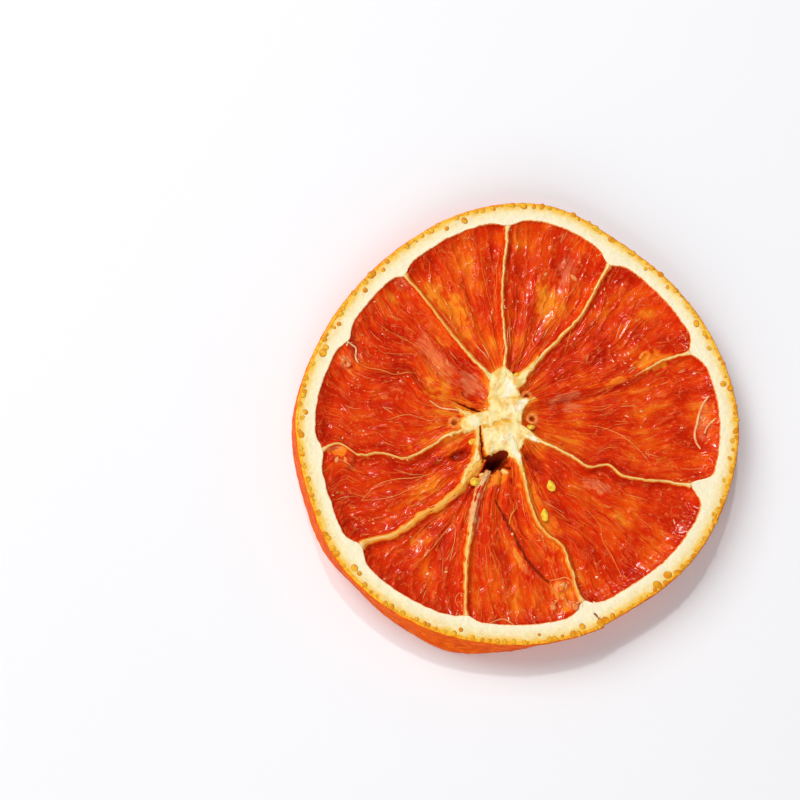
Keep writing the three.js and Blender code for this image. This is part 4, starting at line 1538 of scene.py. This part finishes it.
def pith_finish(colours, name, core=False):
    """Spongy pith: cream with faint ochre mottling; the core has deeper patches."""
    material, tree, shader = new_finish(name, 0.75, glow=0.15, specular=0.2)
    broad = mottling(tree, 1.6, 0.42, 0.68)
    fine = mottling(tree, 0.45)
    inner = read_value(tree, "Inner")
    if core:
        specks = mottling(tree, 1.1, 0.52, 0.62)
        base = blend(tree, broad, colours.core_cream, colours.core_yellow)
        base = blend(tree, times(tree, specks, 0.6), base, colours.core_ochre)
        base = blend(tree, times(tree, fine, 0.2), base, colours.pith_pale)
        # Paler pith and painted highlights on the core
        pale = times(tree, read_value(tree, "Bright"), spread(tree, specks, 0, 1, 1.0, 0.5))
        base = blend(tree, pale, base, colours.pith_pale)
        stain = total(tree, read_value(tree, "Ochre"), swing(tree, fine, 0.8), swing(tree, broad, 0.5))
        base = blend(tree, spread(tree, stain, 0.15, 1.0, 0.0, 0.85), base, colours.core_ochre)
        edge = total(tree, inner, swing(tree, broad, 0.5))
        base = blend(tree, spread(tree, edge, 0.22, -0.1, 0.0, 0.75), base, colours.core_ochre)
        base = blend(tree, spread(tree, edge, 0.0, -0.25), base, colours.pulp_amber)
        base = blend(tree, spread(tree, inner, -0.2, -0.4), base, colours.pulp_red)
    else:
        base = blend(tree, times(tree, broad, 0.6), colours.pith_cream, colours.pith_beige)
        base = blend(tree, times(tree, fine, 0.35), base, colours.pith_pale)
        edge = read_value(tree, "Edge")
        base = blend(tree, spread(tree, edge, 1.1, 2.4, 0.0, 0.75), base, colours.pith_pale)
        zest = spread(tree, total(tree, edge, swing(tree, broad, 0.5)), 1.3, 0.5, 0.0, 0.95)
        base = blend(tree, zest, base, colours.zest)
        flecks = mottling(tree, 0.4, 0.56, 0.68)
        flecks = times(tree, flecks, spread(tree, edge, 2.1, 0.9, 0.1, 0.7))
        base = blend(tree, flecks, base, colours.pith_fleck)
        rim = total(tree, inner, swing(tree, fine, 0.08))
        base = blend(tree, spread(tree, rim, 0.12, -0.03, 0.0, 0.95), base, colours.pulp_amber)
        base = blend(tree, spread(tree, rim, -0.03, -0.13), base, colours.pulp_red)
    # Painted shade: tears, and on the core the hole's edge, darkened through amber to dark red-brown
    dark = read_value(tree, "Dark")
    base = blend(tree, spread(tree, dark, 0.05, 0.5, 0.0, 0.8), base, colours.pulp_amber)
    base = blend(tree, spread(tree, dark, 0.4, 0.9), base, colours.torn_and_shade)
    paint(tree, shader, base)
    emboss(tree, shader, total(tree, broad, times(tree, fine, 0.5)), 0.04)
    return material


def peel_finish(colours):
    """Peel: a streaky orange-brown band with pores, golden where it laps over the edges."""
    material, tree, shader = new_finish("dried peel", 0.5, glow=0.1, specular=0.04)
    place = read_place(tree)
    streaks = effect(tree, "Fibre streaks", Place=place, Width=1.2, Length=0.5, Waver=0.6)
    patches = mottling(tree, 2.2)
    grain = mottling(tree, 0.5)
    base = blend(tree, streaks, colours.peel_brown, colours.peel_orange)
    base = blend(tree, times(tree, patches, 0.4), base, colours.peel_red)
    lip = total(tree, read_value(tree, "Lip"), swing(tree, patches, 0.3))
    gold = blend(tree, grain, colours.lip_gold, colours.lip_orange)
    base = blend(tree, spread(tree, lip, 0.3, 0.8), base, gold)
    # Painted shade: the tear in the peel darkened towards dark red-brown
    base = blend(tree, times(tree, read_value(tree, "Dark"), 0.8), base, colours.torn_and_shade)
    paint(tree, shader, base)
    pores = put_in(tree, "ShaderNodeTexVoronoi", {"Vector": place, "Scale": 1.3}, voronoi_dimensions="2D",
                   feature="SMOOTH_F1")
    dimple = spread(tree, pores.outputs["Distance"], 0.1, 0.5)
    height = maths(tree, "ADD", times(tree, dimple, 0.8), times(tree, grain, 0.4))
    emboss(tree, shader, height, 0.09)
    return material


def gland_finish(colours):
    """Oil glands: golden domes, darker round their edge."""
    material, tree, shader = new_finish("oil gland", 0.35, coat=0.2, glow=0.15, specular=0.25)
    patches = mottling(tree, 1.6, 0.4, 0.6)
    middle = blend(tree, patches, colours.gland_yellow, colours.gland_orange)
    ring = spread(tree, read_value(tree, "Off centre"), 0.6, 1.0, 0.0, 0.85)
    paint(tree, shader, blend(tree, ring, middle, colours.gland_edge))
    return material


def thread_finish(colours):
    """Standing threads and spurs: from orange to cream, each in its own tone."""
    material, tree, shader = new_finish("standing thread", 0.35, coat=0.3, glow=0.2, specular=0.3)
    tone = read_value(tree, "Tone")
    base = ramp(tree, tone, (0.0, colours.pulp_amber), (0.5, colours.thread),
                (1.0, colours.wall_cream))
    grain = mottling(tree, 1.2, 0.4, 0.65)
    base = blend(tree, times(tree, grain, 0.4), base, colours.pulp_orange)
    paint(tree, shader, base)
    return material


def vesicle_finish(colours):
    """Dried juice sacs: milky and glossy in the middle, like the pulp round their foot; the milky middle is
    in part a painted highlight.
    """
    material, tree, shader = new_finish("dried juice sac", 0.25, coat=0.8, glow=0.2, specular=0.3)
    grain = mottling(tree, 0.9)
    skin = blend(tree, grain, colours.pulp_amber, colours.film_and_sheen)
    foot = spread(tree, read_value(tree, "Off centre"), 0.4, 1.0)
    paint(tree, shader, blend(tree, foot, skin, colours.pulp_orange))
    emboss(tree, shader, grain, 0.05)
    return material


def bead_finish(colours):
    """Dried drops of juice: small, glossy and pale; the pale colour is in part a painted highlight."""
    material, tree, shader = new_finish("dried drop", 0.12, coat=1.0, glow=0.2, specular=0.6)
    grain = mottling(tree, 1.5, 0.4, 0.6)
    paint(tree, shader, blend(tree, grain, colours.thread, colours.drop_and_glint))
    return material


def bud_finish(colours):
    """Seed buds: yellow, with darker wrinkles."""
    material, tree, shader = new_finish("seed bud", 0.4, coat=0.3, glow=0.2)
    grain = mottling(tree, 0.5, 0.4, 0.7)
    paint(tree, shader, blend(tree, grain, colours.bud, colours.core_ochre))
    emboss(tree, shader, grain, 0.06)
    return material


# ---- settings and operators


def length_setting(name, description, millimetres):
    return FloatProperty(
        name=name, description=description, default=millimetres * MM, min=0.0, precision=5,
        subtype="DISTANCE", unit="LENGTH",
    )


def power_setting(name, description, watts):
    return FloatProperty(name=name, description=description, default=watts, min=0.0, subtype="POWER")


def factor_setting(name, description, factor=1.0):
    return FloatProperty(name=name, description=description, default=factor, min=0.0)


def count_setting(name, description, count):
    return IntProperty(name=name, description=description, default=count, min=0)


def colour_setting(name, description, red, green, blue):
    return FloatVectorProperty(
        name=name, description=description, default=colour(red, green, blue)[:3], size=3, subtype="COLOR",
        min=0.0, max=1.0,
    )


class SliceSizes(bpy.types.PropertyGroup):
    """Sizes and counts of the fine parts."""
    thread_count: count_setting("Threads per cell", "Standing skins on the pulp of a cell", 20)
    thread_factor: factor_setting("Thread thickness", "Factor on their thickness")
    bead_count: count_setting("Drops per cell", "Dried drops on the pulp of a cell", 32)
    gland_count: count_setting("Oil glands", "Oil glands round the rim", 170)
    gland_factor: factor_setting("Gland size", "Factor on their size")
    seed: count_setting("Seed", "Changes where the fine parts lie", 4)


class SliceColours(bpy.types.PropertyGroup):
    """Colours of the parts."""
    pulp_deep: colour_setting("Pulp, deep", "Darkest red of the pulp", 188, 24, 0)
    pulp_red: colour_setting("Pulp, red", "Usual red of the pulp", 219, 47, 2)
    pulp_orange: colour_setting("Pulp, orange", "Lighter orange-red of the pulp", 232, 80, 6)
    pulp_amber: colour_setting("Pulp, amber", "Where light shines through the pulp", 246, 134, 26)
    # Milky film, also used as painted soft highlights on the pulp and the juice sacs
    film_and_sheen: colour_setting("Film", "Dry milky skin on the pulp", 242, 156, 104)
    thread: colour_setting("Thread", "Thin skins of the juice sacs", 252, 150, 76)
    # Dark red-brown: painted shade in tears, pits, pockets and round the hole, and the darker specks of the
    # beige wall
    torn_and_shade: colour_setting("Torn", "Inside of tears, pits and the hole", 132, 34, 12)
    wall_cream: colour_setting("Wall, cream", "Crest of the walls", 255, 234, 176)
    wall_beige: colour_setting("Wall, beige", "Dull stretch of one wall", 232, 170, 124)
    wall_amber: colour_setting("Wall, amber", "Top of their flanks", 255, 178, 66)
    pith_cream: colour_setting("Pith", "Main colour of the pith", 250, 229, 172)
    pith_beige: colour_setting("Pith, mottled", "Mottling of the pith", 246, 212, 138)
    pith_pale: colour_setting("Pith, pale", "Palest parts of the pith", 253, 242, 212)
    pith_fleck: colour_setting("Pith, flecks", "Small flecks by the peel", 236, 200, 104)
    zest: colour_setting("Zest", "Stained pith by the peel", 252, 200, 84)
    core_cream: colour_setting("Core", "Main colour of the core", 253, 230, 160)
    core_yellow: colour_setting("Core, yellow", "Mottling of the core", 246, 208, 112)
    core_ochre: colour_setting("Core, ochre", "Stained patches of the core", 238, 172, 48)
    peel_orange: colour_setting("Peel, orange", "Lighter streaks of the peel", 250, 112, 0)
    peel_brown: colour_setting("Peel, brown", "Darker streaks of the peel", 230, 80, 0)
    peel_red: colour_setting("Peel, red", "Patches of the peel", 204, 56, 0)
    lip_gold: colour_setting("Lip, gold", "Edge of the peel", 255, 196, 62)
    lip_orange: colour_setting("Lip, orange", "Edge of the peel, darker", 248, 156, 28)
    gland_yellow: colour_setting("Gland, yellow", "Middle of the yellow glands", 250, 186, 46)
    gland_orange: colour_setting("Gland, orange", "Middle of the orange glands", 232, 140, 14)
    gland_edge: colour_setting("Gland, edge", "Edge of the glands", 214, 114, 20)
    # Pale drops: their own colour, and in part painted glints
    drop_and_glint: colour_setting("Dried drop", "Pale drops on the pulp", 255, 196, 152)
    bud: colour_setting("Seed bud", "Shrunken seed buds", 250, 214, 62)


class StageSettings(bpy.types.PropertyGroup):
    """Floor, camera and lights."""
    floor: colour_setting("Floor", "Pale floor", 246, 246, 248)
    elevation: FloatProperty(name="Camera height", description="Angle above the floor",
                             default=math.radians(69), subtype="ANGLE", unit="ROTATION")
    azimuth: FloatProperty(name="Camera bearing", description="Bearing of the camera from the slice",
                           default=math.radians(235), subtype="ANGLE", unit="ROTATION")
    distance: length_setting("Camera distance", "From the camera to the slice", 267.3)
    lens: FloatProperty(name="Lens", description="Focal length in millimetres", default=90.0,
                        subtype="DISTANCE_CAMERA")
    key_power: power_setting("Key light", "Power of the main light", 9.6)
    fill_power: power_setting("Fill light", "Power of the fill light", 8.9)
    glint_power: power_setting("Glint light", "Power of the small light", 1.6)
    sky: factor_setting("Surroundings", "Strength of the light from all round", 0.24)


def dice_for(context, salt):
    return np.random.default_rng(context.scene.slice_sizes.seed * 1000 + salt)


class SLICE_OT_pulp(bpy.types.Operator):
    """Builds the sunk pulp of the ten cells"""
    bl_idname = "slice.pulp"
    bl_label = "Pulp"

    def execute(self, context):
        finish = pulp_finish(context.scene.slice_colours)
        for cell in CELLS:
            add_piece(f"pulp_{cell + 1:02d}", pulp_form(cell), finish)
        return {"FINISHED"}


class SLICE_OT_walls(bpy.types.Operator):
    """Builds the thin walls between the cells"""
    bl_idname = "slice.walls"
    bl_label = "Cell walls"

    def execute(self, context):
        finish = wall_finish(context.scene.slice_colours)
        for index in CELLS:
            add_piece(f"wall_{index + 1:02d}", wall_form(index), finish)
        return {"FINISHED"}


class SLICE_OT_pith(bpy.types.Operator):
    """Builds the ring of pith"""
    bl_idname = "slice.pith"
    bl_label = "Pith"

    def execute(self, context):
        add_piece("pith_ring", pith_form(), pith_finish(context.scene.slice_colours, "dried pith"))
        return {"FINISHED"}


class SLICE_OT_core(bpy.types.Operator):
    """Builds the star-shaped core with its fissures and part of the hole"""
    bl_idname = "slice.core"
    bl_label = "Core"

    def execute(self, context):
        finish = pith_finish(context.scene.slice_colours, "spongy core", core=True)
        add_piece("core", core_form(), finish)
        return {"FINISHED"}


class SLICE_OT_peel(bpy.types.Operator):
    """Builds the band of peel"""
    bl_idname = "slice.peel"
    bl_label = "Peel"

    def execute(self, context):
        add_piece("peel", peel_form(), peel_finish(context.scene.slice_colours))
        return {"FINISHED"}


class SLICE_OT_glands(bpy.types.Operator):
    """Sets the oil glands round the rim"""
    bl_idname = "slice.glands"
    bl_label = "Oil glands"

    def execute(self, context):
        sizes = context.scene.slice_sizes
        finish = gland_finish(context.scene.slice_colours)
        points = paths_mesh("gland_points", gland_points(sizes.gland_count, dice_for(context, 1)))
        made = run_geometry("oil_glands", points, dome_tree(), Size=sizes.gland_factor, Flatness=0.14,
                            Unevenness=0.08 * MM, Material=finish)
        add_piece("oil_glands", made, finish)
        return {"FINISHED"}


class SLICE_OT_threads(bpy.types.Operator):
    """Stands fine skins and small closing membranes on the pulp"""
    bl_idname = "slice.threads"
    bl_label = "Threads"

    def execute(self, context):
        sizes = context.scene.slice_sizes
        finish = thread_finish(context.scene.slice_colours)
        tree = thread_tree()
        paths = []
        for cell in CELLS:
            paths += cell_threads(cell, sizes.thread_count, dice_for(context, 10 + cell))
        for name, lines in (("pulp_threads", paths), ("small_membranes", spur_paths())):
            made = run_geometry(name, paths_mesh(name, lines), tree, Thickness=sizes.thread_factor,
                                Material=finish)
            add_piece(name, made, finish)
        return {"FINISHED"}


class SLICE_OT_drops(bpy.types.Operator):
    """Scatters dried drops of juice on the pulp, whose pale colour also stands for glints as painted
    highlights
    """
    bl_idname = "slice.drops"
    bl_label = "Dried drops"

    def execute(self, context):
        sizes = context.scene.slice_sizes
        finish = bead_finish(context.scene.slice_colours)
        groups = [bead_points(cell, sizes.bead_count, dice_for(context, 30 + cell)) for cell in CELLS]
        made = run_geometry("dried_drops_and_glints", paths_mesh("drop_points", groups), dome_tree(),
                            Flatness=0.6, Longest=3.0, Segments=8, Rings=5, Material=finish)
        add_piece("dried_drops_and_glints", made, finish)
        return {"FINISHED"}


class SLICE_OT_vesicles(bpy.types.Operator):
    """Stands clusters of dried juice sacs on the pulp by the rim"""
    bl_idname = "slice.vesicles"
    bl_label = "Juice sacs"

    def execute(self, context):
        finish = vesicle_finish(context.scene.slice_colours)
        points = paths_mesh("vesicle_points", vesicle_points())
        made = run_geometry("juice_sacs", points, dome_tree(), Flatness=0.3, Longest=1.7, Segments=20,
                            Rings=12, Unevenness=0.1 * MM, Material=finish)
        add_piece("juice_sacs", made, finish)
        return {"FINISHED"}


class SLICE_OT_buds(bpy.types.Operator):
    """Lays the shrunken seed buds by the core"""
    bl_idname = "slice.buds"
    bl_label = "Seed buds"

    def execute(self, context):
        form, *others = [bud_form(*bud) for bud in SEED_BUDS]
        for other in others:
            form = form.joined(other)
        add_piece("seed_buds", form, bud_finish(context.scene.slice_colours))
        return {"FINISHED"}


def add_light(name, direction, distance, size, power, mirrored=True):
    """A square area light that faces the slice, with or without its mirror image on glossy parts."""
    data = bpy.data.lights.new(name, "AREA")
    data.shape = "SQUARE"
    data.size = size
    data.energy = power
    light = new_object(name, data)
    light.location = Vector(direction).normalized() * distance
    light.rotation_euler = light.location.to_track_quat("Z", "Y").to_euler()
    light.visible_glossy = mirrored


FLOOR_HALF = 4.0  # metres
FRAME_RIGHT = 16.03  # mm by which the slice stands right of the middle of the frame
FRAME_DOWN = 2.79  # mm by which it stands below that middle
MIRRORED_SKY = 0.15  # strength of the surroundings' mirror image, as a share of theirs


def lay_floor(settings):
    """A pale square floor."""
    data = bpy.data.meshes.new("floor")
    corners = [(x * FLOOR_HALF, y * FLOOR_HALF, 0) for x, y in ((-1, -1), (1, -1), (1, 1), (-1, 1))]
    data.from_pydata(corners, [], [(0, 1, 2, 3)])
    floor = new_object("floor", data)
    material, _, shader = new_finish("floor", 0.6, specular=0.2)
    shader.inputs["Base Color"].default_value = opaque(settings.floor)
    data.materials.append(material)


def set_camera(scene, settings):
    """A camera that looks down on the slice, turned so that its bearings stay as on the plan."""
    el, az = settings.elevation, settings.azimuth
    back = Vector((math.cos(az) * math.cos(el), math.sin(az) * math.cos(el), math.sin(el)))
    down = Vector((math.cos(az) * math.sin(el), math.sin(az) * math.sin(el), -math.cos(el)))
    side = Vector((-math.sin(az), math.cos(az), 0))
    right = down * math.cos(az) - side * math.sin(az)
    up = down * math.sin(az) + side * math.cos(az)
    middle = Vector(in_frame((0, 0, RIM_THICKNESS)))
    aim = middle - right * FRAME_RIGHT * MM + up * FRAME_DOWN * MM
    place = middle + back * settings.distance
    ahead = (aim - place).normalized()
    right = ahead.cross(up).normalized()
    up = right.cross(ahead)
    data = bpy.data.cameras.new("camera")
    data.lens = settings.lens
    data.sensor_width = 36
    data.clip_start = 0.01
    camera = new_object("camera", data)
    turn = Matrix((right, up, -ahead)).transposed()
    camera.matrix_world = Matrix.Translation(place) @ turn.to_4x4()
    scene.camera = camera


def set_world(scene, settings):
    """Even light from all round, of which glossy parts mirror only a share."""
    world = bpy.data.worlds.new("studio")
    world.use_nodes = True
    tree = world.node_tree
    mirrored = put_in(tree, "ShaderNodeLightPath").outputs["Is Glossy Ray"]
    dimmed = put_in(tree, "ShaderNodeMapRange", {
        "Value": mirrored, "To Min": settings.sky, "To Max": settings.sky * MIRRORED_SKY,
    })
    background = tree.nodes["Background"]
    background.inputs["Color"].default_value = (1.0, 1.0, 1.0, 1.0)
    tree.links.new(dimmed.outputs["Result"], background.inputs["Strength"])
    scene.world = world


class SLICE_OT_stage(bpy.types.Operator):
    """Lays the floor and sets the camera and lights"""
    bl_idname = "slice.stage"
    bl_label = "Stage"

    def execute(self, context):
        scene = context.scene
        settings = scene.slice_stage
        lay_floor(settings)
        set_camera(scene, settings)
        add_light("key_light", (-0.75, 0.6, 0.9), 1.2, 0.7, settings.key_power, mirrored=False)
        add_light("fill_light", (-0.35, -0.9, 0.55), 1.3, 1.0, settings.fill_power, mirrored=False)
        add_light("glint_light", (-0.15, 0.55, 0.82), 0.9, 0.05, settings.glint_power)
        set_world(scene, settings)
        scene.view_settings.view_transform = "Standard"
        return {"FINISHED"}


PARTS = (
    SLICE_OT_pulp, SLICE_OT_walls, SLICE_OT_pith, SLICE_OT_core, SLICE_OT_peel, SLICE_OT_glands,
    SLICE_OT_threads, SLICE_OT_drops, SLICE_OT_vesicles, SLICE_OT_buds, SLICE_OT_stage,
)


class SLICE_PT_parts(bpy.types.Panel):
    """Lists the parts of the slice and their settings"""
    bl_idname = "SLICE_PT_parts"
    bl_label = "Orange slice"
    bl_space_type = "VIEW_3D"
    bl_region_type = "UI"
    bl_category = "Orange slice"

    def draw(self, context):
        for settings in (context.scene.slice_sizes, context.scene.slice_colours, context.scene.slice_stage):
            column = self.layout.column(align=True)
            for name in settings.__annotations__:
                column.prop(settings, name)
        for part in PARTS:
            self.layout.operator(part.bl_idname)


CLASSES = (SliceSizes, SliceColours, StageSettings, *PARTS, SLICE_PT_parts)


def register():
    for each in CLASSES:
        bpy.utils.register_class(each)
    bpy.types.Scene.slice_sizes = PointerProperty(type=SliceSizes)
    bpy.types.Scene.slice_colours = PointerProperty(type=SliceColours)
    bpy.types.Scene.slice_stage = PointerProperty(type=StageSettings)


def unregister():
    del bpy.types.Scene.slice_stage
    del bpy.types.Scene.slice_colours
    del bpy.types.Scene.slice_sizes
    for each in reversed(CLASSES):
        bpy.utils.unregister_class(each)


def main():
    """Builds every part in order."""
    register()
    for part in PARTS:
        group, name = part.bl_idname.split(".")
        getattr(getattr(bpy.ops, group), name)()


if __name__ == "__main__":
    main()
